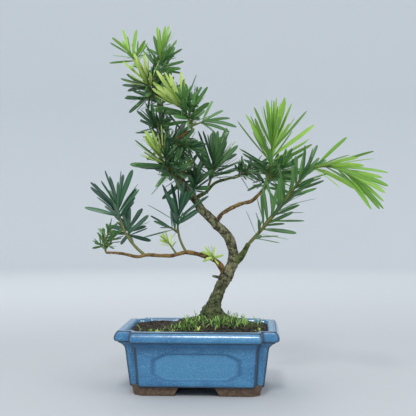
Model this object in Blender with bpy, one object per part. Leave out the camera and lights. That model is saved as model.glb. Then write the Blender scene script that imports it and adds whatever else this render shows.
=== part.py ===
"""Buddhist pine bonsai in a glazed ceramic pot.

The plant is a set of separate solids: trunk, boughs, masses of strap leaves, soil,
pot and feet. Lengths in the tables are millimetres, angles are degrees, and the
meshes are built in metres with +Z up. The pot stands on its four feet at Z = 0.
"""

import math
from dataclasses import dataclass, field

import bmesh
import bpy
import numpy as np
from mathutils.bvhtree import BVHTree

MM = 0.001
GAP = 0.3                       # clearance kept between two pieces that meet
GOLDEN_ANGLE = 137.508          # turn from one leaf to the next round its stem

# The plant leans over one side of the pot, so the pot stands off the origin,
# which is the middle of the whole plant's footprint.
POT_PLACE = (-45.5, -5.0, 0.0)

# Pot
POT_WIDTH = 200.0
POT_DEPTH = 155.0
POT_TOP = 80.0
POT_UNDERSIDE = 14.0
CORNER_STEP = (20.0, 17.0)      # stepped corner of the rim, along the width and the depth
STEP_FADE = 90.0                # inset at which the step would have shrunk to nothing
CORNER_ROUNDING = 2.5
LIP_WIDTH = 13.0
LIP_EDGE = (1.2, 1.5)           # rounding of the lip's inner edge, across and down
CAVITY_SLOPE = 0.26             # how far the inner wall leans in for each millimetre down
CAVITY_STEP = (13.0, 11.0)
CAVITY_ROUNDING = 5.0
FLOOR_LEVEL = 25.0
HOLE_RADIUS = 7.0
HOLE_SIDES = 12
HOLE_SPACING = 80.0
# Outer profile: inset from the rim's outline, height
POT_PROFILE = ((22.0, 14.0), (20.5, 16.0), (15.5, 40.0), (12.5, 56.0), (9.5, 62.0),
               (3.0, 66.0), (0.6, 68.0), (0.0, 70.0), (0.0, 78.0), (1.2, 80.0))
PANEL_SIZE = (107.0, 34.0)
PANEL_POINTS = 24
PANEL_SQUARENESS = (0.45, 0.6)  # powers of the outline's cosine and sine; 1 would be an ellipse
PANEL_LEVEL = 36.0
PANEL_DEPTH = 1.6
CUTTER_REACH = 10.0             # half length of the solids that cut panels and holes

# Feet
FOOT_TOP_INSET = 24.0
FOOT_TAPER = 1.5
FOOT_ARM = (38.0, 32.0)
FOOT_STEP = 0.75                # step of a foot's corner as a share of the rim's
FOOT_THICKNESS = 17.0
FOOT_SLANT = 8.0

# Soil
SOIL_EDGE = 75.0
SOIL_CROWN = 87.7
TRUNK_PLACE = (17.0, 0.0)
CROWN_RADIUS = 23.0

# Root flare of the trunk
FLARE_SHARE = 0.1               # share of the trunk's length over which the ridges fade out
FLARE_RIDGES = ((5, 0.13, 0.6), (2, 0.05, 0.0))  # ridges in a turn, height, phase in radians

# Leaves and twigs
LEAF_THICKNESS = 0.55
LEAF_SLENDERNESS = 90.0         # a long leaf is at least this share of its length thick
LEAF_SECTIONS = ((0.0, 0.24, 0.8), (0.58, 1.0, 1.0))  # place, width and thickness as shares
LEAF_CLEARANCE = 0.45
TWIG_SIDES = 3
TWIG_SPAN = 16.0                # length of stem between two rings
TWIG_TIP = 0.65                 # radius of a twig's tip as a share of its root's


@dataclass(frozen=True)
class Limb:
    """A tapering limb through hand-set points, with radii spread evenly along it."""

    points: tuple
    radii: tuple
    sides: int = 8
    rings: int = 18
    carrier: str = ""


@dataclass(frozen=True)
class Shoot:
    """A leafy shoot: where it stands, where it points and how its leaves sit.

    at: place on the limb or stem that carries it, 0 at the root and 1 at the tip.
    heading and rise: direction, in degrees from +X towards +Y and above level.
    spread: angle between leaf and stem at the lowest and at the topmost leaf.
    wide: leaf width over leaf length. bow: how far the stem sags at half length.
    bare: share of the stem below the first leaf. flush: where new growth starts.
    """

    at: float
    heading: float
    rise: float
    length: float
    leaves: int
    leaf: float
    spread: tuple
    wide: float
    seed: int
    bow: float = 0.0
    bare: float = 0.15
    flush: float = 2.0
    new_leaf: float = 0.0
    droop: float = 0.0
    radius: float = 1.7


@dataclass(frozen=True)
class Foliage:
    """A mass of leaves: one stem on its carrier, and the twigs on that stem."""

    carrier: str
    finish: str
    stem: Shoot
    twigs: tuple = field(default_factory=tuple)


LIMBS = {
    "trunk": Limb(
        points=((17, 0, 88), (18, 0, 106), (23, 1, 118), (31, 3, 136), (40, 4, 153), (43, 5, 167),
                (41, 6, 180), (34, 6, 195), (20, 4, 209), (4, 1, 226), (-6, -1, 240), (-17, -3, 250),
                (-24, -4, 263), (-28, -4, 279)),
        radii=(20, 8.6, 7, 7.2, 7, 6.2, 5.7, 5.6, 5.3, 5, 4.8, 4.9, 6, 5.6), sides=12, rings=26),
    "leader": Limb(
        points=((-25, -4, 266), (-37, -2, 283), (-46, 0, 303), (-50, 2, 323), (-50, 3, 346), (-53, 2, 368),
                (-59, 0, 387), (-67, -3, 402), (-80, -6, 413)),
        radii=(3.6, 2.6, 1.6), carrier="trunk"),
    "upper_right_bough": Limb(
        points=((-39, -2, 287), (-35, -6, 303), (-29, -9, 315), (-16, -12, 323), (-8, -13, 327)),
        radii=(2.4, 2.2, 1.7), rings=9, carrier="leader"),
    "left_bough": Limb(
        points=((31, 3, 148), (25, 0, 158), (17, -3, 164), (5, -7, 169), (-15, -12, 173), (-36, -16, 169),
                (-64, -20, 170), (-78, -22, 168), (-96, -24, 172), (-116, -25, 173)),
        radii=(3.6, 2.7, 2.4, 2.1, 1.5), carrier="trunk"),
    "right_bough": Limb(
        points=((20, 4, 209), (28, 8, 221), (37, 11, 227), (51, 15, 234), (66, 18, 238), (76, 20, 247),
                (82, 20, 254)),
        radii=(2.8, 2.3, 1.9), rings=14, carrier="trunk"),
    "long_shoot": Limb(
        points=((43, 5, 160), (52, 2, 166), (63, -3, 184)),
        radii=(4.4, 3.6, 2.7), rings=7, carrier="trunk"),
    "centre_bough": Limb(
        points=((-8, 0, 239), (-1, 4, 244), (8, 8, 249), (19, 13, 261), (37, 18, 267), (45, 20, 268)),
        radii=(2.3, 1.9, 1.5), rings=12, carrier="trunk"),
}

FOLIAGE = {
    "apex_left_foliage": Foliage("leader", "new_leaf", Shoot(
        1.0, -139, 53, 15, 11, 36, (85, 14), 0.12, seed=3, bare=0.0), (
        Shoot(0.2, 50, 67, 13, 7, 17, (50, 12), 0.14, seed=4, radius=1.2),)),
    "apex_right_foliage": Foliage("leader", "leaf", Shoot(
        0.8, 37, 73, 49, 23, 34, (88, 12), 0.15, seed=5, bow=2, bare=0.1, flush=0.62, new_leaf=32), (
        Shoot(0.2, 55, 36, 30, 8, 31, (70, 15), 0.15, seed=40, bare=0.3),)),
    "upper_left_foliage": Foliage("leader", "leaf", Shoot(
        0.67, -126, 46, 32, 20, 42, (88, 12), 0.14, seed=6, bow=2, flush=0.5, new_leaf=36), (
        Shoot(0.1, -137, -19, 18, 7, 30, (65, 20), 0.14, seed=7),)),
    "upper_right_foliage": Foliage("upper_right_bough", "leaf", Shoot(
        1.0, -151, 59, 44, 23, 48, (88, 12), 0.15, seed=8, bow=-3, flush=0.62, new_leaf=42), (
        Shoot(0.08, 46, 77, 43, 16, 15, (70, 20), 0.25, seed=9, radius=1.4),
        Shoot(0.08, 46, 20, 26, 5, 44, (45, 15), 0.1, seed=10, bare=0.5, droop=0.35, radius=1.3))),
    "middle_left_foliage": Foliage("leader", "leaf", Shoot(
        0.34, -115, 54, 26, 13, 34, (78, 12), 0.13, seed=11)),
    "shoulder_foliage": Foliage("trunk", "leaf", Shoot(
        0.92, -135, 44, 47, 21, 47, (98, 10), 0.14, seed=12, bow=3, flush=0.68, new_leaf=40), (
        Shoot(0.28, -149, 81, 28, 11, 33, (60, 12), 0.15, seed=13),)),
    "stub_sprout": Foliage("trunk", "new_leaf", Shoot(
        0.94, -20, 55, 21, 9, 12, (60, 15), 0.2, seed=14, radius=1.3)),
    "centre_foliage": Foliage("centre_bough", "leaf", Shoot(
        0.31, -18, 72, 40, 20, 51, (70, 12), 0.14, seed=15, bow=1, bare=0.35)),
    "collar_foliage": Foliage("trunk", "leaf", Shoot(
        0.81, -68, 59, 22, 12, 33, (80, 8), 0.19, seed=16)),
    "centre_tip_foliage": Foliage("centre_bough", "leaf", Shoot(
        1.0, 13, 24, 30, 15, 29, (85, 15), 0.14, seed=17), (
        Shoot(0.16, -55, 72, 12, 8, 13, (60, 15), 0.25, seed=18, radius=1.3),)),
    "right_crown_foliage": Foliage("right_bough", "new_leaf", Shoot(
        1.0, -37, 78, 66, 37, 48, (95, 8), 0.115, seed=19, bow=3, bare=0.22, flush=0.45, new_leaf=58,
        radius=2.0), (
        Shoot(0.14, -36, 32, 32, 10, 39, (65, 15), 0.15, seed=20),)),
    "long_shoot_foliage": Foliage("long_shoot", "leaf", Shoot(
        1.0, -17, 51, 119, 40, 44, (60, 28), 0.12, seed=21, bow=3, bare=0.05, radius=2.4)),
    "right_spray_foliage": Foliage("long_shoot_foliage", "new_leaf", Shoot(
        1.0, -16, -7, 55, 18, 62, (40, 10), 0.085, seed=22, bow=-7, bare=0.05, droop=0.25)),
    "left_bough_sprout": Foliage("left_bough", "new_leaf", Shoot(
        0.1, -113, 32, 16, 10, 18, (70, 12), 0.18, seed=23, radius=1.3)),
    "left_middle_foliage": Foliage("left_bough", "leaf", Shoot(
        0.36, 179, 80, 52, 14, 46, (66, 15), 0.155, seed=24, bow=6, bare=0.66), (
        Shoot(0.46, -150, 33, 14, 5, 38, (75, 35), 0.14, seed=25),)),
    "left_bud_foliage": Foliage("left_bough", "new_leaf", Shoot(
        0.44, -137, 50, 22, 9, 18, (60, 10), 0.17, seed=26, bare=0.4, radius=1.3)),
    "left_tall_foliage": Foliage("left_bough", "leaf", Shoot(
        0.69, 167, 60, 74, 16, 51, (62, 14), 0.14, seed=27, bow=9, bare=0.74, radius=2.0), (
        Shoot(0.36, 94, 38, 25, 14, 32, (88, 18), 0.17, seed=28),)),
    "left_tip_foliage": Foliage("left_bough", "leaf", Shoot(
        1.0, 147, 77, 23, 11, 14, (80, 20), 0.28, seed=29, radius=1.4), (
        Shoot(0.12, 37, 51, 23, 10, 15, (80, 20), 0.28, seed=30, radius=1.2),
        Shoot(0.12, -145, 40, 12, 6, 13, (75, 20), 0.28, seed=31, radius=1.2),
        Shoot(0.46, -36, 62, 23, 8, 14, (75, 20), 0.28, seed=41, radius=1.2))),
    "back_upper_foliage": Foliage("leader", "leaf", Shoot(
        0.58, 86, 32, 51, 15, 43, (85, 12), 0.14, seed=32)),
    "back_middle_foliage": Foliage("leader", "leaf", Shoot(
        0.29, 77, 18, 49, 15, 43, (85, 12), 0.14, seed=33)),
    "back_lower_foliage": Foliage("trunk", "leaf", Shoot(
        0.88, 99, 28, 52, 14, 39, (85, 12), 0.14, seed=34)),
    "right_back_foliage": Foliage("right_bough", "leaf", Shoot(
        0.86, 58, 32, 53, 16, 43, (88, 12), 0.14, seed=35, bare=0.3)),
    "front_middle_foliage": Foliage("upper_right_bough", "leaf", Shoot(
        0.46, -48, -12, 30, 10, 33, (75, 15), 0.15, seed=36)),
}


def clear_scene():
    for obj in list(bpy.data.objects):
        bpy.data.objects.remove(obj, do_unlink=True)


def make_material(name, colour, roughness, metallic=0.0):
    material = bpy.data.materials.new(name)
    material.use_nodes = True
    shader = material.node_tree.nodes["Principled BSDF"]
    shader.inputs["Base Color"].default_value = (*colour, 1.0)
    shader.inputs["Roughness"].default_value = roughness
    shader.inputs["Metallic"].default_value = metallic
    return material


def make_object(name, verts, faces, material, smooth_angle=None):
    """A mesh object from points in millimetres, its faces turned outwards."""
    mesh = bpy.data.meshes.new(name)
    mesh.from_pydata([tuple(v * MM for v in p) for p in verts], [], faces)
    bm = bmesh.new()
    bm.from_mesh(mesh)
    bmesh.ops.recalc_face_normals(bm, faces=bm.faces)
    bm.to_mesh(mesh)
    bm.free()
    mesh.materials.append(material)
    if smooth_angle:
        mesh.shade_smooth()
        mesh.set_sharp_from_angle(angle=math.radians(smooth_angle))
    obj = bpy.data.objects.new(name, mesh)
    bpy.context.scene.collection.objects.link(obj)
    return obj


def stand_on(obj, frame):
    obj.parent = frame
    return obj


def tree_of(verts, faces):
    return BVHTree.FromPolygons([tuple(v) for v in verts], faces)


def unit(vector):
    return vector / np.linalg.norm(vector)


def direction(heading, rise):
    heading, rise = math.radians(heading), math.radians(rise)
    return np.array([math.cos(heading) * math.cos(rise), math.sin(heading) * math.cos(rise), math.sin(rise)])


def smooth_path(points, per_span=8):
    """Catmull-Rom curve through the points."""
    p = np.asarray(points, float)
    p = np.vstack([2 * p[0] - p[1], p, 2 * p[-1] - p[-2]])
    t = np.linspace(0, 1, per_span, endpoint=False)[:, None]
    spans = []
    for a, b, c, d in zip(p, p[1:], p[2:], p[3:]):
        spans.append(0.5 * (2 * b + (c - a) * t + (2 * a - 5 * b + 4 * c - d) * t**2
                            + (3 * b - a - 3 * c + d) * t**3))
    spans.append(p[-2][None])
    return np.vstack(spans)


def shares(path):
    """Share of the path's length at each of its points."""
    run = np.concatenate([[0.0], np.cumsum(np.linalg.norm(np.diff(path, axis=0), axis=1))])
    return run / run[-1]


def point_at(path, at):
    share = shares(path)
    return np.array([np.interp(at, share, path[:, k]) for k in range(3)])


def direction_at(path, at, reach=0.04):
    return unit(point_at(path, min(1.0, at + reach)) - point_at(path, max(0.0, at - reach)))


def radius_at(radii, at):
    return np.interp(at, np.linspace(0, 1, len(radii)), radii)


def side_frame(axis):
    """Two directions square to the axis; the first looks to the front, or right on an axis that does."""
    reference = np.array([0.0, -1.0, 0.0]) if abs(axis[1]) < 0.85 else np.array([1.0, 0.0, 0.0])
    first = unit(reference - axis * (reference @ axis))
    return first, np.cross(axis, first)


def flare_lobes(share, turn):
    """Root flare: ridges that fade out above the foot of the trunk."""
    fade = max(0.0, 1 - share / FLARE_SHARE)
    return 1 + fade * sum(height * math.cos(count * turn + phase) for count, height, phase in FLARE_RIDGES)


def sweep(path, radii, sides, rings, first_axis=None, lobes=None, extra=0.0):
    """A closed tube with flat ends along a path; each ring is turned as little as possible."""
    verts, faces = [], []
    reference = None
    for k, share in enumerate(np.linspace(0, 1, rings)):
        axis = direction_at(path, share)
        if k == 0 and first_axis is not None:
            axis = np.array(first_axis, float)
        if reference is None:
            reference = side_frame(axis)[0]
        reference = unit(reference - axis * (reference @ axis))
        across = np.cross(axis, reference)
        centre = point_at(path, share)
        if k in (0, rings - 1):
            centre = centre + axis * extra * (1 if k else -1)
        for side in range(sides):
            turn = 2 * math.pi * side / sides
            radius = radius_at(radii, share) + extra
            if lobes:
                radius *= lobes(share, turn)
            verts.append(centre + radius * (math.cos(turn) * reference + math.sin(turn) * across))
    for k in range(rings - 1):
        for side in range(sides):
            a, b = k * sides + side, k * sides + (side + 1) % sides
            faces.append((a, b, b + sides, a + sides))
    last = (rings - 1) * sides
    faces.append(tuple(range(sides))[::-1])
    faces.append(tuple(range(last, last + sides)))
    return verts, faces


def limb_mesh(name, extra=0.0):
    limb = LIMBS[name]
    path = smooth_path(limb.points)
    is_trunk = not limb.carrier
    return sweep(path, limb.radii, limb.sides, limb.rings, first_axis=(0, 0, 1) if is_trunk else None,
                 lobes=flare_lobes if is_trunk else None, extra=extra)


def stem_path(foot, shoot, count=13):
    """The stem's line from its foot along its chord, sagging by the bow at half length."""
    t = np.linspace(0, 1, count)[:, None]
    chord = direction(shoot.heading, shoot.rise)
    down = direction(shoot.heading, shoot.rise - 90)
    return foot + t * shoot.length * chord + 4 * t * (1 - t) * shoot.bow * down


def surface_distance(point, path, radii):
    """Distance from a point to a limb with flat ends."""
    segments = np.diff(path, axis=0)
    lengths = (segments**2).sum(axis=1)
    t = np.clip(((point - path[:-1]) * segments).sum(axis=1) / lengths, 0, 1)
    nearest = path[:-1] + t[:, None] * segments
    k = int(np.argmin(np.linalg.norm(point - nearest, axis=1)))
    share = shares(path)
    at = share[k] + t[k] * (share[k + 1] - share[k])
    radius = radius_at(radii, at)
    offset = point - nearest[k]
    if at > 0.9999:
        axis = unit(segments[-1])
        beyond = offset @ axis
        aside = np.linalg.norm(offset - beyond * axis) - radius
        return beyond if aside < 0 else math.hypot(beyond, aside)
    return np.linalg.norm(offset) - radius


def clear_start(path, radius, carrier_path, carrier_radii):
    """The share of a stem's length from which it stands clear of the limb that carries it."""
    start = 0.0
    for share in np.linspace(0, 1, 201):
        centre = point_at(path, share)
        axis = direction_at(path, share)
        first, second = side_frame(axis)
        corners = [centre + radius * (math.cos(turn) * first + math.sin(turn) * second)
                   for turn in np.radians([0, 60, 120, 180, 240, 300])]
        if min(surface_distance(c, carrier_path, carrier_radii) for c in corners) < GAP:
            start = share
    return start + 0.005


def shoot_leaves(shoot, path):
    """Where each leaf of a shoot stands: root, direction, upper side, bend, length and width.

    The leaves climb the stem by the golden angle, spread widest at its foot.
    """
    random = np.random.default_rng(shoot.seed)
    placed = []
    for k in range(shoot.leaves):
        climb = k / max(1, shoot.leaves - 1)
        stray = random.uniform(-1, 1, 4)
        at = shoot.bare + (1 - shoot.bare) * (k + 0.5) / shoot.leaves
        axis = direction_at(path, at)
        front, across = side_frame(axis)
        turn = math.radians(k * GOLDEN_ANGLE) + 0.25 * stray[0]
        outwards = math.cos(turn) * front + math.sin(turn) * across
        low, top = shoot.spread
        spread = math.radians(low + (top - low) * climb**0.8 + 6 * stray[1])
        full = shoot.new_leaf if at > shoot.flush else shoot.leaf
        length = full * (0.78 + 0.22 * math.sin(math.pi * (0.15 + 0.7 * climb))) * (1 + 0.12 * stray[2])
        along = axis * math.cos(spread) + outwards * math.sin(spread)
        upper = axis * math.sin(spread) - outwards * math.cos(spread)
        bend = np.array([0.0, 0.0, -0.5 * shoot.droop])
        placed.append((point_at(path, at), along, upper, bend, length, length * shoot.wide * (1 + 0.1 * stray[3])))
    return placed


def leaf_solid(leaf, margin=0.0):
    """A flat strap leaf, keeled below: a root section, a middle section and a pointed tip."""
    root, along, upper, bend, length, width = leaf
    across = np.cross(along, upper)
    thickness = max(LEAF_THICKNESS, length / LEAF_SLENDERNESS) + margin
    verts = []
    for share, broad, thick in LEAF_SECTIONS:
        middle = root + length * (share * along + share**2 * bend)
        half = 0.5 * width * broad + margin
        verts += [middle + half * across + margin * upper, middle - half * across + margin * upper,
                  middle - thick * thickness * upper]
    verts.append(root + (length + margin) * (along + bend))
    faces = [(0, 1, 2), (0, 3, 4, 1), (1, 4, 5, 2), (2, 5, 3, 0), (3, 6, 4), (4, 6, 5), (5, 6, 3)]
    return verts, faces


def closed_parts(bm):
    """The separate bodies of a mesh, as lists of faces."""
    left = set(bm.faces)
    parts = []
    while left:
        stack = [left.pop()]
        part = list(stack)
        while stack:
            for edge in stack.pop().edges:
                # A hollow may touch the outer skin along an edge that four faces share.
                for face in edge.link_faces if len(edge.link_faces) == 2 else ():
                    if face in left:
                        left.remove(face)
                        stack.append(face)
                        part.append(face)
        parts.append(part)
    return parts


def keep_outer_body(mesh):
    """Drop the loose scraps and fill the sealed hollows that fusing leaves."""
    bm = bmesh.new()
    bm.from_mesh(mesh)
    bmesh.ops.triangulate(bm, faces=bm.faces)
    parts = sorted(closed_parts(bm), key=len)
    for part in parts[:-1]:
        bmesh.ops.delete(bm, geom=part, context="FACES")
    bmesh.ops.delete(bm, geom=[v for v in bm.verts if not v.link_faces], context="VERTS")
    bm.to_mesh(mesh)
    bm.free()


def apply_modifiers(obj):
    graph = bpy.context.evaluated_depsgraph_get()
    mesh = bpy.data.meshes.new_from_object(obj.evaluated_get(graph))
    obj.modifiers.clear()
    obj.data = mesh


def fuse(obj, pieces):
    """Join the pieces to the object by one union, and remove them."""
    group = bpy.data.collections.new(obj.name + "_pieces")
    bpy.context.scene.collection.children.link(group)
    for piece in pieces:
        bpy.context.scene.collection.objects.unlink(piece)
        group.objects.link(piece)
    union = obj.modifiers.new("union", "BOOLEAN")
    union.operation = "UNION"
    union.solver = "EXACT"
    union.operand_type = "COLLECTION"
    union.collection = group
    apply_modifiers(obj)
    for piece in pieces:
        bpy.data.objects.remove(piece, do_unlink=True)
    bpy.data.collections.remove(group)
    keep_outer_body(obj.data)


def notched_outline(half_width, half_depth, step, rounding, arc=2):
    """A rectangle with a square step taken out of each corner, every corner rounded."""
    step_x, step_y = step
    outline = []
    for quarter, (sx, sy) in enumerate(((1, -1), (1, 1), (-1, 1), (-1, -1))):
        corners = [((half_width - step_x, half_depth), 0, 1), ((half_width - step_x, half_depth - step_y), 1, -1),
                   ((half_width, half_depth - step_y), 0, 1)]
        if quarter % 2:
            corners.reverse()
        for (x, y), inner, bulge in corners:
            # Outer corners turn about a centre inside the outline, the step's about one outside it.
            cx, cy = x - bulge * rounding, y - bulge * rounding
            start, end = (90, 0) if not inner else (180, 270)
            angles = np.radians(np.linspace(start, end, arc + 1))
            if quarter % 2:
                angles = angles[::-1]
            for angle in angles:
                px, py = cx + rounding * math.cos(angle), cy + rounding * math.sin(angle)
                outline.append((sx * px, sy * py))
    return outline


def pot_outline(inset):
    shrink = 1 - inset / STEP_FADE
    return notched_outline(POT_WIDTH / 2 - inset, POT_DEPTH / 2 - inset,
                           (CORNER_STEP[0] * shrink, CORNER_STEP[1] * shrink), CORNER_ROUNDING)


def cavity_outline(level, clearance=0.0):
    """The inner outline: it follows the stepped rim with large soft corners."""
    inset = LIP_WIDTH + CAVITY_SLOPE * (POT_TOP - level) + clearance
    return notched_outline(POT_WIDTH / 2 - inset, POT_DEPTH / 2 - inset, CAVITY_STEP, CAVITY_ROUNDING)


def loft(rings):
    """A closed skin over rings that hold the same number of points, with flat ends."""
    count = len(rings[0])
    verts = [point for ring in rings for point in ring]
    faces = []
    for k in range(len(rings) - 1):
        for i in range(count):
            a, b = k * count + i, k * count + (i + 1) % count
            faces.append((a, b, b + count, a + count))
    faces.append(tuple(range(count))[::-1])
    faces.append(tuple(range(len(verts) - count, len(verts))))
    return verts, faces


def at_level(outline, level):
    return [(x, y, level) for x, y in outline]


def hide_cutter(obj, frame):
    obj.hide_render = True
    obj.display_type = "WIRE"
    return stand_on(obj, frame)


def cut(obj, cutter):
    modifier = obj.modifiers.new("cut", "BOOLEAN")
    modifier.operation = "DIFFERENCE"
    modifier.object = cutter


def panel_outline():
    """Cartouche with clipped, softly rounded ends."""
    half_width, half_height = PANEL_SIZE[0] / 2, PANEL_SIZE[1] / 2
    power_x, power_y = PANEL_SQUARENESS
    outline = []
    for k in range(PANEL_POINTS):
        turn = 2 * math.pi * (k + 0.5) / PANEL_POINTS
        x, y = math.cos(turn), math.sin(turn)
        outline.append((half_width * math.copysign(abs(x)**power_x, x),
                        half_height * math.copysign(abs(y)**power_y, y)))
    return outline


def build_pot(frame, glaze):
    rings = [at_level(pot_outline(inset), level) for inset, level in POT_PROFILE]
    across, down = LIP_EDGE
    rings += [at_level(cavity_outline(POT_TOP, -across), POT_TOP), at_level(cavity_outline(POT_TOP), POT_TOP - down),
              at_level(cavity_outline(FLOOR_LEVEL), FLOOR_LEVEL)]
    pot = stand_on(make_object("pot", *loft(rings), glaze, smooth_angle=35), frame)

    # The long faces lean in towards the foot, and the panels lie in them.
    (low_inset, low), (high_inset, high) = POT_PROFILE[2], POT_PROFILE[3]
    lean = math.atan2(low_inset - high_inset, high - low)
    face_inset = low_inset - (PANEL_LEVEL - low) * math.tan(lean)
    for side, name in ((-1, "front_panel_cutter"), (1, "back_panel_cutter")):
        outline = panel_outline()
        rings = [[(x, end, z) for x, z in outline] for end in (-CUTTER_REACH, CUTTER_REACH)]
        panel = make_object(name, *loft(rings), glaze)
        depth = POT_DEPTH / 2 - face_inset + CUTTER_REACH - PANEL_DEPTH
        panel.location = (0, side * depth * MM, PANEL_LEVEL * MM)
        panel.rotation_euler = (side * -lean, 0, 0)
        cut(pot, hide_cutter(panel, frame))
    for side, name in ((-1, "left_hole_cutter"), (1, "right_hole_cutter")):
        circle = [(HOLE_RADIUS * math.cos(a), HOLE_RADIUS * math.sin(a))
                  for a in np.linspace(0, 2 * math.pi, HOLE_SIDES, endpoint=False)]
        hole = make_object(name, *loft([at_level(circle, end) for end in (-CUTTER_REACH, CUTTER_REACH)]), glaze)
        hole.location = (side * HOLE_SPACING / 2 * MM, 0, (POT_UNDERSIDE + FLOOR_LEVEL) / 2 * MM)
        cut(pot, hide_cutter(hole, frame))
    return pot


def build_feet(frame, clay):
    """Four stepped corner brackets with slanting ends, drawn in towards the ground."""
    top = POT_UNDERSIDE - GAP
    for side_x, side_y, name in ((-1, -1, "foot_front_left"), (1, -1, "foot_front_right"),
                                 (-1, 1, "foot_back_left"), (1, 1, "foot_back_right")):
        rings = []
        for level, inset, slant in ((0.0, FOOT_TOP_INSET + FOOT_TAPER, FOOT_SLANT), (top, FOOT_TOP_INSET, 0.0)):
            x, y = POT_WIDTH / 2 - inset, POT_DEPTH / 2 - inset
            step_x, step_y = (FOOT_STEP * size for size in CORNER_STEP)
            end_x, end_y = x - FOOT_ARM[0] - step_x + slant, y - FOOT_ARM[1] - step_y + slant
            inner_x, inner_y = x - FOOT_THICKNESS, y - FOOT_THICKNESS
            outline = [(end_x, y), (x - step_x, y), (x - step_x, y - step_y), (x, y - step_y), (x, end_y),
                       (inner_x, end_y), (inner_x, inner_y), (end_x, inner_y)]
            rings.append([(side_x * px, side_y * py, level) for px, py in outline])
        stand_on(make_object(name, *loft(rings), clay), frame)


def build_soil(frame, earth):
    """Soil that fills the pot to just under its lip and is mounded round the foot of the trunk."""
    floor = FLOOR_LEVEL + GAP
    edge = cavity_outline(SOIL_EDGE, GAP)
    rings = [at_level(cavity_outline(floor, GAP), floor), at_level(edge, SOIL_EDGE)]
    centre_x, centre_y = TRUNK_PLACE
    for share in (0.25, 0.5, 0.75, 1.0):
        ring = []
        for x, y in edge:
            away = math.hypot(x - centre_x, y - centre_y)
            toward_x = centre_x + (x - centre_x) * CROWN_RADIUS / away
            toward_y = centre_y + (y - centre_y) * CROWN_RADIUS / away
            climb = share * share * (3 - 2 * share)
            ring.append((x + (toward_x - x) * share, y + (toward_y - y) * share,
                         SOIL_EDGE + (SOIL_CROWN - SOIL_EDGE) * climb))
        rings.append(ring)
    return stand_on(make_object("soil", *loft(rings), earth, smooth_angle=40), frame)


def build_limbs(frame, finishes):
    """Trunk and boughs; each bough is hollowed at its root to the limb that carries it."""
    cutters = {}
    for name, limb in LIMBS.items():
        finish = finishes["trunk" if name == "trunk" else "bough"]
        obj = stand_on(make_object(name, *limb_mesh(name), finish, smooth_angle=40), frame)
        if limb.carrier:
            if limb.carrier not in cutters:
                cutter = make_object(limb.carrier + "_cutter", *limb_mesh(limb.carrier, extra=GAP), finish)
                cutters[limb.carrier] = hide_cutter(cutter, frame)
            cut(obj, cutters[limb.carrier])


def plan_stems():
    """Path and radii of every stem and twig, worked out in the order they are carried."""
    lines = {name: (smooth_path(limb.points), limb.radii) for name, limb in LIMBS.items()}
    plan = {}
    for name, mass in FOLIAGE.items():
        carrier_path, carrier_radii = lines[mass.carrier]
        path = stem_path(point_at(carrier_path, mass.stem.at), mass.stem)
        start = clear_start(path, mass.stem.radius, carrier_path, carrier_radii)
        path = np.array([point_at(path, share) for share in np.linspace(start, 1, len(path))])
        rows = [(mass.stem, path)] + [(twig, stem_path(point_at(path, twig.at), twig)) for twig in mass.twigs]
        plan[name] = [(shoot, line, (shoot.radius, shoot.radius * TWIG_TIP)) for shoot, line in rows]
        lines[name] = plan[name][0][1:]
    return plan


def twig_mesh(path, radii):
    length = np.linalg.norm(path[-1] - path[0])
    return sweep(path, radii, TWIG_SIDES, 2 + int(length / TWIG_SPAN))


def build_foliage(frame, finishes):
    """Every mass of leaves; a leaf that comes too near a piece outside its own mass is left off."""
    plan = plan_stems()
    obstacles = {name: tree_of(*limb_mesh(name)) for name in LIMBS}
    for name, rows in plan.items():
        for k, (shoot, path, radii) in enumerate(rows):
            obstacles[f"{name} {k}"] = tree_of(*twig_mesh(path, radii))
    for name, rows in plan.items():
        others = [tree for key, tree in obstacles.items() if key.split(" ")[0] != name]
        finish = finishes[FOLIAGE[name].finish]
        pieces, kept = [], []
        for k, (shoot, path, radii) in enumerate(rows):
            pieces.append(make_object(f"{name}_twig_{k}", *twig_mesh(path, radii), finish))
            for leaf in shoot_leaves(shoot, path):
                fat = tree_of(*leaf_solid(leaf, margin=LEAF_CLEARANCE))
                if any(fat.overlap(tree) for tree in others):
                    continue
                verts, faces = leaf_solid(leaf)
                kept.append((verts, faces))
                pieces.append(make_object(f"{name}_leaf", verts, faces, finish))
        for k, (verts, faces) in enumerate(kept):
            obstacles[f"{name} leaf {k}"] = tree_of(verts, faces)
        mass = pieces[0]
        mass.name = name
        fuse(mass, pieces[1:])
        stand_on(mass, frame)


def main():
    clear_scene()
    finishes = {
        "trunk": make_material("trunk_bark", (0.16, 0.14, 0.085), 0.9),
        "bough": make_material("bough_bark", (0.32, 0.2, 0.08), 0.8),
        "leaf": make_material("grown_leaf", (0.05, 0.16, 0.055), 0.45),
        "new_leaf": make_material("new_leaf", (0.3, 0.52, 0.05), 0.45),
    }
    frame = bpy.data.objects.new("pot_place", None)
    frame.location = tuple(v * MM for v in POT_PLACE)
    bpy.context.scene.collection.objects.link(frame)

    build_pot(frame, make_material("blue_glaze", (0.07, 0.26, 0.5), 0.15))
    build_feet(frame, make_material("bare_clay", (0.15, 0.1, 0.07), 0.85))
    build_soil(frame, make_material("soil", (0.03, 0.025, 0.018), 0.95))
    build_limbs(frame, finishes)
    build_foliage(frame, finishes)


main()
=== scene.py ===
"""Buddhist pine bonsai in a blue glazed pot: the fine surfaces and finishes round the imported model.

Lengths are millimetres in the pot's frame and angles are degrees; materials alone count in metres.
Pieces are made in metres in the model's frame, with their place in their mesh. The leaves grow by
one seeded rule: they climb each stem by the golden angle and spread widest at its foot.
"""

import logging
import math
from dataclasses import dataclass, field
from enum import Enum

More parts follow.
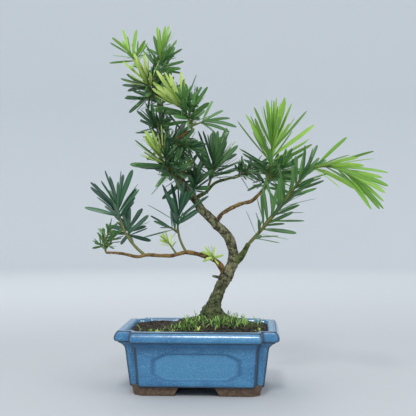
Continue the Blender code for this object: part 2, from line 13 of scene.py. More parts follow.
import bpy
import numpy as np
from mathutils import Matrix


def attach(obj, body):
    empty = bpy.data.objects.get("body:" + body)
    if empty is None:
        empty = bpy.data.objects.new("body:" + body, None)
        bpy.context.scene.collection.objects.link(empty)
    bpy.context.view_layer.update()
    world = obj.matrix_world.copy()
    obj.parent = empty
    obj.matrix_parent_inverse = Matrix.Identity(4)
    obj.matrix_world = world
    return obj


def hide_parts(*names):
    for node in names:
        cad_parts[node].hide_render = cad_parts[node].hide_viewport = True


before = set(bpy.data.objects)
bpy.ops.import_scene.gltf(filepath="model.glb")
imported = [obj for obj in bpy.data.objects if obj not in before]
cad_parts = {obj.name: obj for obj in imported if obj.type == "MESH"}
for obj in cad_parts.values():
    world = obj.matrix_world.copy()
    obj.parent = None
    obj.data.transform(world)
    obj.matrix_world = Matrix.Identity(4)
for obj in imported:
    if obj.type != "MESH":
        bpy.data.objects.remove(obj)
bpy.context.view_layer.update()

log = logging.getLogger("bonsai")

MM = 0.001
POT_PLACE = np.array([-45.5, -5.0, 0.0])
Points = np.ndarray
Faces = list[np.ndarray]

# The growth rule
GOLDEN_ANGLE = 137.508
GAP = 0.3               # room between a stem's foot and the bark that it grows from
BARK_ROOM = 1.0         # least room between a leaf's midline and the bark of a limb
TIP_SHARE = 0.65        # radius of a stem's tip over that of its foot
ROLL = 62.0             # the most that a leaf turns about its own midline
FILLING = 0.55          # leaves sown between the main ones, over the number of the main ones
FILLING_SIZE = 0.86     # their length over that of the main ones
FILLING_TURN = 66       # their turn round the stem from the main ones
TURN_STRAY = 0.25       # the most that a leaf strays in its turn round the stem, in radians
SPREAD_STRAY = 6        # in its spread
LENGTH_STRAY = 0.12     # in its length, as a share
WIDTH_STRAY = 0.1       # in its width, as a share
CURL_STRAY = 0.07       # between the least and the most curled leaf
NEW_LENGTH = 1.1        # length of a new leaf over that in the table
NEW_WIDTH = 0.8         # its slimness against a grown leaf
FILLING_SEED = 1000     # added to a shoot's seed for the leaves between
LOOSE_SEED = 2000       # added for curl, shade and roll
SIDE_SEED = 500         # added for a side twig
SIDE_TWIGS = ((0.18, 78), (0.42, -82), (0.62, 64))      # place on the leafy part, swing off the heading


class Tint(Enum):
    """The five leaf colours of the tree, from the oldest leaves to the newest."""

    DARK = "dark"
    TEAL = "teal"
    MID = "mid"
    BRIGHT = "bright"
    PALE = "pale"


@dataclass(frozen=True)
class Limb:
    """A tapering limb through given points, with radii spread evenly along it."""

    points: tuple
    radii: tuple
    carrier: str = ""


@dataclass(frozen=True)
class Shoot:
    """A leafy shoot: where it stands, where it points and how its leaves sit.

    at: place on its carrier, from root to tip. heading and rise: its direction. spread: angle of
    the lowest and of the topmost leaf. wide: leaf width over length. bow: sag at half length.
    bare: share below the first leaf. flush: where new growth, new_leaf long, starts.
    """

    at: float
    heading: float
    rise: float
    length: float
    leaves: int
    leaf: float
    spread: tuple
    wide: float
    seed: int
    bow: float = 0.0
    bare: float = 0.15
    flush: float = 2.0
    new_leaf: float = 0.0
    droop: float = 0.0
    radius: float = 1.7


@dataclass(frozen=True)
class Foliage:
    """A mass of leaves: one stem on its carrier, and the twigs on that stem.

    grown and new: colours of its grown and of its new leaves. slot: the record's material slot.
    bushy: whether the stem carries finer side twigs.
    """

    carrier: str
    stem: Shoot
    twigs: tuple = ()
    grown: Tint = Tint.DARK
    new: Tint = Tint.MID
    slot: str = "grown_leaf"
    bushy: bool = False


LIMBS: dict[str, Limb] = {
    "trunk": Limb(
        ((17, 0, 88), (18, 0, 106), (23, 1, 118), (31, 3, 136), (40, 4, 153), (43, 5, 167), (41, 6, 180),
         (34, 6, 195), (20, 4, 209), (4, 1, 226), (-6, -1, 240), (-17, -3, 250), (-24, -4, 263),
         (-28, -4, 279)),
        (20, 8.6, 7, 7.2, 7, 6.2, 5.7, 5.6, 5.3, 5, 4.8, 4.9, 6, 5.6)),
    "leader": Limb(
        ((-25, -4, 266), (-37, -2, 283), (-46, 0, 303), (-50, 2, 323), (-50, 3, 346), (-53, 2, 368),
         (-59, 0, 387), (-67, -3, 402), (-80, -6, 413)),
        (3.6, 2.6, 1.6), "trunk"),
    "upper_right_bough": Limb(
        ((-39, -2, 287), (-35, -6, 303), (-29, -9, 315), (-16, -12, 323), (-8, -13, 327)),
        (2.4, 2.2, 1.7), "leader"),
    "left_bough": Limb(
        ((31, 3, 148), (25, 0, 158), (17, -3, 164), (5, -7, 169), (-15, -12, 173), (-36, -16, 169),
         (-64, -20, 170), (-78, -22, 168), (-96, -24, 172), (-116, -25, 173)),
        (3.6, 2.7, 2.4, 2.1, 1.5), "trunk"),
    "right_bough": Limb(
        ((20, 4, 209), (28, 8, 221), (37, 11, 227), (51, 15, 234), (66, 18, 238), (76, 20, 247),
         (82, 20, 254)),
        (2.8, 2.3, 1.9), "trunk"),
    "long_shoot": Limb(
        ((43, 5, 160), (52, 2, 166), (63, -3, 184)),
        (4.4, 3.6, 2.7), "trunk"),
    "centre_bough": Limb(
        ((-8, 0, 239), (-1, 4, 244), (8, 8, 249), (19, 13, 261), (37, 18, 267), (45, 20, 268)),
        (2.3, 1.9, 1.5), "trunk"),
}

FOLIAGE: dict[str, Foliage] = {
    "apex_left_foliage": Foliage(
        "leader",
        Shoot(1.0, -139, 53, 15, 11, 36, (85, 14), 0.12, seed=3, bare=0.0),
        (Shoot(0.2, 50, 67, 13, 7, 17, (50, 12), 0.14, seed=4, radius=1.2),),
        grown=Tint.BRIGHT, new=Tint.BRIGHT, slot="new_leaf"),
    "apex_right_foliage": Foliage(
        "leader",
        Shoot(0.8, 37, 73, 49, 23, 34, (88, 12), 0.15, seed=5, bow=2, bare=0.1, flush=0.62, new_leaf=32),
        (Shoot(0.2, 55, 36, 30, 8, 31, (70, 15), 0.15, seed=40, bare=0.3),),
        grown=Tint.MID, new=Tint.BRIGHT, bushy=True),
    "upper_left_foliage": Foliage(
        "leader",
        Shoot(0.67, -126, 46, 32, 20, 42, (88, 12), 0.14, seed=6, bow=2, flush=0.5, new_leaf=36),
        (Shoot(0.1, -137, -19, 18, 7, 30, (65, 20), 0.14, seed=7),),
        new=Tint.PALE, bushy=True),
    "upper_right_foliage": Foliage(
        "upper_right_bough",
        Shoot(1.0, -151, 59, 44, 23, 48, (88, 12), 0.15, seed=8, bow=-3, flush=0.62, new_leaf=42),
        (Shoot(0.08, 46, 77, 43, 16, 15, (70, 20), 0.25, seed=9, radius=1.4),
         Shoot(0.08, 46, 20, 26, 5, 44, (45, 15), 0.1, seed=10, bare=0.5, droop=0.35, radius=1.3)),
        grown=Tint.MID, new=Tint.PALE, bushy=True),
    "middle_left_foliage": Foliage(
        "leader", Shoot(0.34, -115, 54, 26, 13, 34, (78, 12), 0.13, seed=11),
        new=Tint.PALE, bushy=True),
    "shoulder_foliage": Foliage(
        "trunk",
        Shoot(0.92, -135, 44, 47, 21, 47, (98, 10), 0.14, seed=12, bow=3, flush=0.68, new_leaf=40),
        (Shoot(0.28, -149, 81, 28, 11, 33, (60, 12), 0.15, seed=13),),
        new=Tint.PALE, bushy=True),
    "stub_sprout": Foliage(
        "trunk", Shoot(0.94, -20, 55, 21, 9, 12, (60, 15), 0.2, seed=14, radius=1.3),
        grown=Tint.PALE, new=Tint.PALE, slot="new_leaf"),
    "centre_foliage": Foliage(
        "centre_bough", Shoot(0.31, -18, 72, 40, 20, 51, (70, 12), 0.14, seed=15, bow=1, bare=0.35),
        bushy=True),
    "collar_foliage": Foliage(
        "trunk", Shoot(0.81, -68, 59, 22, 12, 33, (80, 8), 0.19, seed=16)),
    "centre_tip_foliage": Foliage(
        "centre_bough",
        Shoot(1.0, 13, 24, 30, 15, 29, (85, 15), 0.14, seed=17),
        (Shoot(0.16, -55, 72, 12, 8, 13, (60, 15), 0.25, seed=18, radius=1.3),),
        bushy=True),
    "right_crown_foliage": Foliage(
        "right_bough",
        Shoot(1.0, -37, 78, 66, 37, 48, (95, 8), 0.115, seed=19, bow=3, bare=0.22, flush=0.45,
              new_leaf=58, radius=2.0),
        (Shoot(0.14, -36, 32, 32, 10, 39, (65, 15), 0.15, seed=20),),
        grown=Tint.MID, new=Tint.BRIGHT, slot="new_leaf"),
    "long_shoot_foliage": Foliage(
        "long_shoot",
        Shoot(1.0, -17, 51, 119, 40, 44, (60, 28), 0.12, seed=21, bow=3, bare=0.05, radius=2.4),
        grown=Tint.MID, new=Tint.BRIGHT),
    "right_spray_foliage": Foliage(
        "long_shoot_foliage",
        Shoot(1.0, -16, -7, 55, 18, 62, (40, 10), 0.085, seed=22, bow=-7, bare=0.05, droop=0.25),
        grown=Tint.BRIGHT, new=Tint.BRIGHT, slot="new_leaf"),
    "left_bough_sprout": Foliage(
        "left_bough", Shoot(0.1, -113, 32, 16, 10, 18, (70, 12), 0.18, seed=23, radius=1.3),
        grown=Tint.PALE, new=Tint.PALE, slot="new_leaf"),
    "left_middle_foliage": Foliage(
        "left_bough",
        Shoot(0.36, 179, 80, 52, 14, 46, (66, 15), 0.155, seed=24, bow=6, bare=0.66),
        (Shoot(0.46, -150, 33, 14, 5, 38, (75, 35), 0.14, seed=25),),
        grown=Tint.TEAL),
    "left_bud_foliage": Foliage(
        "left_bough", Shoot(0.44, -137, 50, 22, 9, 18, (60, 10), 0.17, seed=26, bare=0.4, radius=1.3),
        grown=Tint.PALE, new=Tint.PALE, slot="new_leaf"),
    "left_tall_foliage": Foliage(
        "left_bough",
        Shoot(0.69, 167, 60, 74, 16, 51, (62, 14), 0.14, seed=27, bow=9, bare=0.74, radius=2.0),
        (Shoot(0.36, 94, 38, 25, 14, 32, (88, 18), 0.17, seed=28),),
        grown=Tint.TEAL),
    "left_tip_foliage": Foliage(
        "left_bough",
        Shoot(1.0, 147, 77, 23, 11, 14, (80, 20), 0.28, seed=29, radius=1.4),
        (Shoot(0.12, 37, 51, 23, 10, 15, (80, 20), 0.28, seed=30, radius=1.2),
         Shoot(0.12, -145, 40, 12, 6, 13, (75, 20), 0.28, seed=31, radius=1.2),
         Shoot(0.46, -36, 62, 23, 8, 14, (75, 20), 0.28, seed=41, radius=1.2)),
        grown=Tint.MID, new=Tint.BRIGHT),
    "back_upper_foliage": Foliage(
        "leader", Shoot(0.58, 86, 32, 51, 15, 43, (85, 12), 0.14, seed=32),
        bushy=True),
    "back_middle_foliage": Foliage(
        "leader", Shoot(0.29, 77, 18, 49, 15, 43, (85, 12), 0.14, seed=33),
        bushy=True),
    "back_lower_foliage": Foliage(
        "trunk", Shoot(0.88, 99, 28, 52, 14, 39, (85, 12), 0.14, seed=34),
        bushy=True),
    "right_back_foliage": Foliage(
        "right_bough", Shoot(0.86, 58, 32, 53, 16, 43, (88, 12), 0.14, seed=35, bare=0.3),
        grown=Tint.MID, new=Tint.BRIGHT, bushy=True),
    "front_middle_foliage": Foliage(
        "upper_right_bough", Shoot(0.46, -48, -12, 30, 10, 33, (75, 15), 0.15, seed=36),
        bushy=True),
}


# Curves and waves

def unit(vectors: Points) -> Points:
    """Vectors scaled to length one along their last axis."""
    return vectors / np.linalg.norm(vectors, axis=-1, keepdims=True)


def direction(heading: float, rise: float) -> Points:
    """Unit vector from a heading from +X towards +Y and a rise above level.

    Args:
        heading: from +X towards +Y.
        rise: above level.

    Returns:
        The unit vector.
    """
    heading, rise = math.radians(heading), math.radians(rise)
    return np.array([math.cos(heading) * math.cos(rise), math.sin(heading) * math.cos(rise), math.sin(rise)])


def smooth_path(points: tuple, per_span: int = 8) -> Points:
    """Catmull-Rom curve: each span is the cubic through its ends whose slopes join their neighbours.

    Args:
        points: places that the curve runs through.
        per_span: samples on each span.

    Returns:
        The sampled curve, one row a point.
    """
    p = np.asarray(points, float)
    p = np.vstack([2 * p[0] - p[1], p, 2 * p[-1] - p[-2]])
    t = np.linspace(0, 1, per_span, endpoint=False)[None, :, None]
    a, b, c, d = (p[k:len(p) - 3 + k, None, :] for k in range(4))
    spans = 0.5 * (2 * b + (c - a) * t + (2 * a - 5 * b + 4 * c - d) * t**2 + (3 * b - a - 3 * c + d) * t**3)
    return np.vstack([spans.reshape(-1, p.shape[1]), p[-2][None]])


def shares(path: Points) -> Points:
    """Share of a path's length at each of its points.

    Args:
        path: points, one a row.

    Returns:
        One share for each point.
    """
    run = np.concatenate([[0.0], np.cumsum(np.linalg.norm(np.diff(path, axis=0), axis=1))])
    return run / run[-1]


def point_at(path: Points, at: Points) -> Points:
    """Points of a path at the given shares of its length.

    Args:
        path: points, one a row.
        at: shares of its length.

    Returns:
        One point for each share.
    """
    share = shares(path)
    return np.stack([np.interp(at, share, path[:, k]) for k in range(3)], axis=-1)


def direction_at(path: Points, at: Points, reach: float = 0.04) -> Points:
    """Directions of a path: the unit chord from a little before each share to a little after it."""
    return unit(point_at(path, np.minimum(1.0, at + reach)) - point_at(path, np.maximum(0.0, at - reach)))


def path_length(path: Points) -> float:
    """Length of a path."""
    return float(np.linalg.norm(np.diff(path, axis=0), axis=1).sum())


def radius_at(radii: tuple, at: Points) -> Points:
    """Radius at a share of a limb whose radii are spread evenly."""
    return np.interp(at, np.linspace(0, 1, len(radii)), radii)


def side_frame(axis: Points) -> tuple[Points, Points]:
    """Two directions square to each axis, the first to the front or, where the axis looks there, right.

    Args:
        axis: unit vectors, one a row.

    Returns:
        The first direction, which is the reference less its part along the axis, and the cross product.
    """
    reference = np.where(np.abs(axis[..., 1:2]) < 0.85, [0.0, -1.0, 0.0], [1.0, 0.0, 0.0])
    first = unit(reference - axis * (reference * axis).sum(axis=-1, keepdims=True))
    return first, np.cross(axis, first)


def waves(points: Points, size: float, seed: int, octaves: int = 3) -> Points:
    """Smooth noise from -1 to 1: sines along seeded directions, each octave half as long and high.

    Args:
        points: places, one a row.
        size: length of the longest wave.
        seed: picks directions and phases.
        octaves: how many halvings.

    Returns:
        One value for each place.
    """
    sines = 5
    random = np.random.default_rng(seed)
    total, height, full = np.zeros(points.shape[:-1]), 1.0, 0.0
    for _ in range(octaves):
        for _ in range(sines):
            way = unit(random.normal(size=points.shape[-1])) * 2 * math.pi / (size * random.uniform(0.7, 1.4))
            total = total + height * np.sin(points @ way + random.uniform(0, 2 * math.pi))
        full += height * sines**0.5
        size, height = size / 2, height / 2
    return np.clip(total / full, -1, 1)


def ease(share: Points) -> Points:
    """Smooth step: three times the square less twice the cube of a share held between 0 and 1."""
    share = np.clip(share, 0, 1)
    return share**2 * (3 - 2 * share)


def bell(values: Points, middle: float, width: float) -> Points:
    """One at the middle, falling as the exponential of minus the squared distance over the width."""
    return np.exp(-((values - middle) / width) ** 2)


# Meshes

def grid_faces(rows: int, columns: int) -> np.ndarray:
    """Quads between rows of a grid whose columns close round.

    Args:
        rows: how many rings.
        columns: points in a ring.

    Returns:
        Four point numbers a face.
    """
    row, column = np.meshgrid(np.arange(rows - 1), np.arange(columns), indexing="ij")
    here, beside = row * columns + column, row * columns + (column + 1) % columns
    return np.stack([here, beside, beside + columns, here + columns], axis=-1).reshape(-1, 4)


def fans(rows: int, columns: int) -> np.ndarray:
    """Triangles from the first and the last row of a grid to the two poles numbered after its points.

    Args:
        rows: how many rings.
        columns: points in a ring.

    Returns:
        Three point numbers a face.
    """
    one = np.arange(columns)
    beside, last = (one + 1) % columns, (rows - 1) * columns
    poles = np.full((2, columns), rows * columns) + [[0], [1]]
    return np.vstack([np.stack([beside, one, poles[0]], axis=-1),
                      np.stack([last + one, last + beside, poles[1]], axis=-1)])


def closed_grid(points: Points) -> tuple[Points, Faces]:
    """A closed skin from a grid of rings: quads between rings, and a fan to a pole at either end.

    Args:
        points: array of rings, ring points and coordinates.

    Returns:
        Points and faces; the poles are the middles of the first and the last ring.
    """
    flat = np.vstack([points.reshape(-1, 3), points[0].mean(axis=0), points[-1].mean(axis=0)])
    return flat, [grid_faces(*points.shape[:2]), fans(*points.shape[:2])]


def join(parts: list[tuple[Points, Faces]]) -> tuple[Points, Faces]:
    """Several meshes as one, their face numbers shifted past the points before them.

    Args:
        parts: points and faces of each mesh.

    Returns:
        Points and faces of the whole.
    """
    points, faces, start = [], [], 0
    for some, groups in parts:
        points.append(some)
        faces += [group + start for group in groups]
        start += len(some)
    return np.vstack(points), faces


def signed_volume(points: Points, faces: Faces) -> float:
    """Six times the volume within the faces, below zero when they look inwards.

    Args:
        points: places, one a row.
        faces: groups of faces.

    Returns:
        The signed sum.
    """
    placed = points - points.mean(axis=0)
    return sum(float((placed[group[:, 0]] * np.cross(placed[group[:, k]], placed[group[:, k + 1]])).sum())
               for group in faces for k in range(1, group.shape[1] - 1))


def make_piece(name: str, points: Points, faces: Faces, material: bpy.types.Material, slot: str,
               nodes: tuple[str, ...] = (), sharp: float = 60.0,
               values: dict[str, Points] | None = None) -> bpy.types.Object:
    """A mesh object whose place is in its mesh, its faces turned outwards, riding on the model's one body.

    Args:
        name: the piece's name.
        points: places in the pot's frame.
        faces: groups of faces with the same number of corners.
        material: its finish.
        slot: the record's material slot, or nothing for what isn't part of the object.
        nodes: solids that the piece stands for.
        sharp: angle above which an edge is shaded sharp.
        values: named values for each point, read by the material.

    Returns:
        The new object.
    """
    if slot and signed_volume(points, faces) < 0:
        faces = [group[:, ::-1] for group in faces]
        log.info("%s: faces turned outwards", name)
    mesh = bpy.data.meshes.new(name)
    placed = (points + POT_PLACE) * MM
    mesh.vertices.add(len(placed))
    mesh.vertices.foreach_set("co", placed.astype(np.float32).ravel())
    loops = np.concatenate([group.ravel() for group in faces])
    totals = np.concatenate([np.full(len(group), group.shape[1]) for group in faces])
    mesh.loops.add(len(loops))
    mesh.loops.foreach_set("vertex_index", loops.astype(np.int32))
    mesh.polygons.add(len(totals))
    starts = np.concatenate([[0], np.cumsum(totals)[:-1]])
    mesh.polygons.foreach_set("loop_start", starts.astype(np.int32))
    mesh.polygons.foreach_set("loop_total", totals.astype(np.int32))
    mesh.update(calc_edges=True)
    mesh.shade_smooth()
    mesh.set_sharp_from_angle(angle=math.radians(sharp))
    for key, value in (values or {}).items():
        layer = mesh.attributes.new(key, "FLOAT", "POINT")
        layer.data.foreach_set("value", value.astype(np.float32))
    mesh.materials.append(material)
    obj = bpy.data.objects.new(name, mesh)
    bpy.context.scene.collection.objects.link(obj)
    if slot:
        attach(obj, "root")
    if nodes:
        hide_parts(*nodes)
    log.info("%s: %d faces", name, len(totals))
    return obj


def carry(path: Points, radius: Points, sides: int, relief: Points | None = None) -> Points:
    """A round profile carried along a path: centre plus radius times the turning direction square to it.

    Args:
        path: centres of the rings, evenly spaced.
        radius: one radius a ring.
        sides: points in a ring.
        relief: optional factor for every point, by ring and side.

    Returns:
        Array of rings, sides and coordinates.
    """
    axis = unit(np.gradient(path, axis=0))
    reference = side_frame(axis[:1])[0][0]
    firsts = []
    for way in axis:
        reference = unit(reference - way * (reference @ way))
        firsts.append(reference)
    first = np.array(firsts)
    second = np.cross(axis, first)
    turn = np.linspace(0, 2 * math.pi, sides, endpoint=False)[None, :, None]
    out = np.cos(turn) * first[:, None] + np.sin(turn) * second[:, None]
    reach = radius[:, None, None] * (1.0 if relief is None else relief[..., None])
    return path[:, None] + reach * out


def tube(path: Points, start: float, end: float, sides: int, rings: int) -> tuple[Points, Faces]:
    """A closed tapering tube with rounded ends, its radius falling evenly from start to end.

    Args:
        path: its centre line.
        start: first radius.
        end: last radius.
        sides: points in a ring.
        rings: how many rings.

    Returns:
        Points and faces.
    """
    at = np.linspace(0, 1, rings)
    radius = start + (end - start) * at
    radius[0], radius[-1] = 0.6 * radius[0], 0.5 * radius[-1]
    return closed_grid(carry(point_at(path, at), radius, sides))


@dataclass
class Leaves:
    """A number of strap leaves as arrays, one row a leaf."""

    root: Points
    along: Points
    upper: Points
    bend: Points
    length: Points
    width: Points
    curl: Points
    shade: Points
    roll: Points

    OUTLINE_AT = (0, 0.12, 0.3, 0.6, 0.85, 0.95, 1)
    OUTLINE = (0.25, 0.5, 0.88, 1, 0.88, 0.6, 0.1)
    # Cross-section in half widths: two shallow halves beside a sunk midrib, and a keel below
    ACROSS = (-1.0, -0.5, 0.0, 0.5, 1.0, 0.0)
    RISE = (-0.13, 0.06, -0.03, 0.06, -0.13, -0.2)
    SECTIONS = (0, 0.1, 0.25, 0.42, 0.6, 0.76, 0.88, 0.96)

    def keep(self, chosen: Points) -> "Leaves":
        """Only the chosen leaves."""
        return Leaves(*(getattr(self, key)[chosen] for key in self.__dataclass_fields__))

    def midline(self, shares_along: Points) -> Points:
        """Midlines: root plus length times (share along, share squared times bend and curl).

        Args:
            shares_along: places along each leaf.

        Returns:
            Points by leaf and share.
        """
        s = np.asarray(shares_along)[None, :, None]
        curve = self.bend[:, None] + self.curl[:, None, None] * self.upper[:, None]
        return self.root[:, None] + self.length[:, None, None] * (s * self.along[:, None] + s**2 * curve)

    def mesh(self, shares_along: tuple = SECTIONS) -> tuple[Points, Faces, dict]:
        """Closed leaf solids: the cross-section, rolled, and scaled by the outline along the midline.

        Args:
            shares_along: places of the cross-sections.

        Returns:
            Points, faces, and each point's shade and whether it lies on the midrib.
        """
        count, sections, ring = len(self.root), len(shares_along), len(self.ACROSS)
        across = np.cross(self.along, self.upper)
        turn = self.roll[:, None]
        across, face = (np.cos(turn) * across + np.sin(turn) * self.upper,
                        np.cos(turn) * self.upper - np.sin(turn) * across)
        middle = self.midline(shares_along)
        half = 0.5 * self.width[:, None] * np.interp(shares_along, self.OUTLINE_AT, self.OUTLINE)[None]
        side = half[..., None, None] * np.asarray(self.ACROSS)[:, None] * across[:, None, None]
        rise = half[..., None, None] * np.asarray(self.RISE)[:, None] * face[:, None, None]
        body = (middle[:, :, None] + side + rise).reshape(count, -1, 3)
        points = np.concatenate([body, self.midline((-0.01, 1.0))], axis=1)
        # The section runs round from the left margin over the upper side, so faces turn the other way.
        shift = (np.arange(count) * points.shape[1])[:, None, None]
        faces = [(group[None, :, ::-1] + shift).reshape(-1, group.shape[1])
                 for group in (grid_faces(sections, ring), fans(sections, ring))]
        rib = np.tile(np.append(np.tile(np.asarray(self.ACROSS) == 0, sections), (True, True)), count)
        values = {"shade": np.repeat(self.shade, points.shape[1]), "rib": rib.astype(float)}
        return points.reshape(-1, 3), faces, values


def stack_leaves(groups: list[Leaves]) -> Leaves:
    """Several groups of leaves as one."""
    return Leaves(*(np.concatenate([getattr(g, key) for g in groups]) for key in Leaves.__dataclass_fields__))


# The growth rule

def stem_path(foot: Points, shoot: Shoot, count: int = 13) -> Points:
    """The stem's line along its chord, sagging by four times share times one less share times the bow.

    Args:
        foot: where it starts.
        shoot: its sizes.
        count: how many points.

    Returns:
        The line, one row a point.
    """
    t = np.linspace(0, 1, count)[:, None]
    chord = direction(shoot.heading, shoot.rise)
    down = direction(shoot.heading, shoot.rise - 90)
    return foot + t * shoot.length * chord + 4 * t * (1 - t) * shoot.bow * down


def limb_distance(points: Points, path: Points, radii: tuple) -> Points:
    """Distance from each point to a limb's bark: to the nearest of its centres, less the radius there.

    Args:
        points: places.
        path: the limb's line.
        radii: its radii, spread evenly.

    Returns:
        One distance for each place.
    """
    at = np.linspace(0, 1, 240)
    apart = np.linalg.norm(points[..., None, :] - point_at(path, at), axis=-1) - radius_at(radii, at)
    return apart.min(axis=-1)


def surface_distance(points: Points, path: Points, radii: tuple) -> Points:
    """Distance from points to a limb with a flat far end: to its side, or to the disc that ends it.

    Args:
        points: places, one a row.
        path: the limb's line.
        radii: its radii, spread evenly.

    Returns:
        One distance for each place.
    """
    segments = np.diff(path, axis=0)
    t = np.clip(((points[:, None] - path[:-1]) * segments).sum(axis=2) / (segments**2).sum(axis=1), 0, 1)
    nearest = path[:-1] + t[..., None] * segments
    k = np.linalg.norm(points[:, None] - nearest, axis=2).argmin(axis=1)
    row = np.arange(len(points))
    share = shares(path)
    at = share[k] + t[row, k] * (share[k + 1] - share[k])
    radius = radius_at(radii, at)
    offset = points - nearest[row, k]
    axis = unit(segments[-1])
    beyond = offset @ axis
    aside = np.linalg.norm(offset - beyond[:, None] * axis, axis=1) - radius
    at_end = np.where(aside < 0, beyond, np.hypot(beyond, aside))
    return np.where(at > 0.9999, at_end, np.linalg.norm(offset, axis=1) - radius)


def clear_start(path: Points, radius: float, carrier_path: Points, carrier_radii: tuple) -> float:
    """The share of a stem's length from which its six-sided skin stands clear of its carrier.

    Args:
        path: the stem's line.
        radius: its radius.
        carrier_path: the carrier's line.
        carrier_radii: the carrier's radii.

    Returns:
        The share, just past the last close place.
    """
    steps = np.linspace(0, 1, 201)
    centre, axis = point_at(path, steps), direction_at(path, steps)
    first, second = side_frame(axis)
    turn = np.radians([0, 60, 120, 180, 240, 300])[None, :, None]
    corners = centre[:, None] + radius * (np.cos(turn) * first[:, None] + np.sin(turn) * second[:, None])
    near = surface_distance(corners.reshape(-1, 3), carrier_path, carrier_radii)
    close = steps[near.reshape(len(steps), -1).min(axis=1) < GAP]
    return (float(close[-1]) if len(close) else 0.0) + 0.005


def shoot_leaves(shoot: Shoot, path: Points, between: bool) -> tuple[Leaves, Points]:
    """The leaves of a shoot, climbing it by the golden angle and spread widest at its foot.

    Args:
        shoot: the shoot.
        path: its stem's line.
        between: whether these are the smaller leaves between the main ones.

    Returns:
        The leaves, and whether each one is new growth.
    """
    count = round(shoot.leaves * FILLING) if between else shoot.leaves
    random = np.random.default_rng(shoot.seed + (FILLING_SEED if between else 0))
    k = np.arange(count)
    climb = (k + 0.5) / count if between else k / max(1, count - 1)
    stray = random.uniform(-1, 1, (count, 4))
    at = shoot.bare + (1 - shoot.bare) * (k + 0.5) / count
    axis = direction_at(path, at)
    front, across = side_frame(axis)
    turned = np.radians(k * GOLDEN_ANGLE + (FILLING_TURN if between else 0))
    turn = (turned + TURN_STRAY * stray[:, 0])[:, None]
    outwards = np.cos(turn) * front + np.sin(turn) * across
    low, top = shoot.spread
    spread = np.radians(low + (top - low) * climb**0.8 + SPREAD_STRAY * stray[:, 1])[:, None]
    is_new = at > shoot.flush
    full = np.where(is_new, NEW_LENGTH * shoot.new_leaf, shoot.leaf) * (FILLING_SIZE if between else 1.0)
    swell = 0.78 + 0.22 * np.sin(math.pi * (0.15 + 0.7 * climb))
    length = full * swell * (1 + LENGTH_STRAY * stray[:, 2])
    along = axis * np.cos(spread) + outwards * np.sin(spread)
    upper = axis * np.sin(spread) - outwards * np.cos(spread)
    bend = np.zeros((count, 3)) + [0.0, 0.0, -0.5 * shoot.droop]
    loose = np.random.default_rng(shoot.seed + LOOSE_SEED).uniform(0, 1, (3, count))
    curl = np.where(is_new, 0.02, -0.05) + CURL_STRAY * (loose[0] - 0.5)
    width = length * shoot.wide * (1 + WIDTH_STRAY * stray[:, 3]) * np.where(is_new, NEW_WIDTH, 1.0)
    roll = math.radians(ROLL) * (2 * loose[2] - 1)
    return Leaves(point_at(path, at), along, upper, bend, length, width, curl, loose[1], roll), is_new


def side_twigs(shoot: Shoot) -> list[Shoot]:
    """Finer twigs on a stem: short, small-leaved, and turned off its heading to either side in turn.

    Args:
        shoot: the stem.

    Returns:
        Three twigs that stand on it.
    """
    return [Shoot(at=shoot.bare + (1 - shoot.bare) * place, heading=shoot.heading + swing,
                  rise=0.5 * shoot.rise + 12, length=0.26 * shoot.length + 3, leaves=8,
                  leaf=0.62 * shoot.leaf, spread=(72, 14), wide=shoot.wide * 1.12,
                  seed=shoot.seed + SIDE_SEED + k, radius=0.9)
            for k, (place, swing) in enumerate(SIDE_TWIGS)]


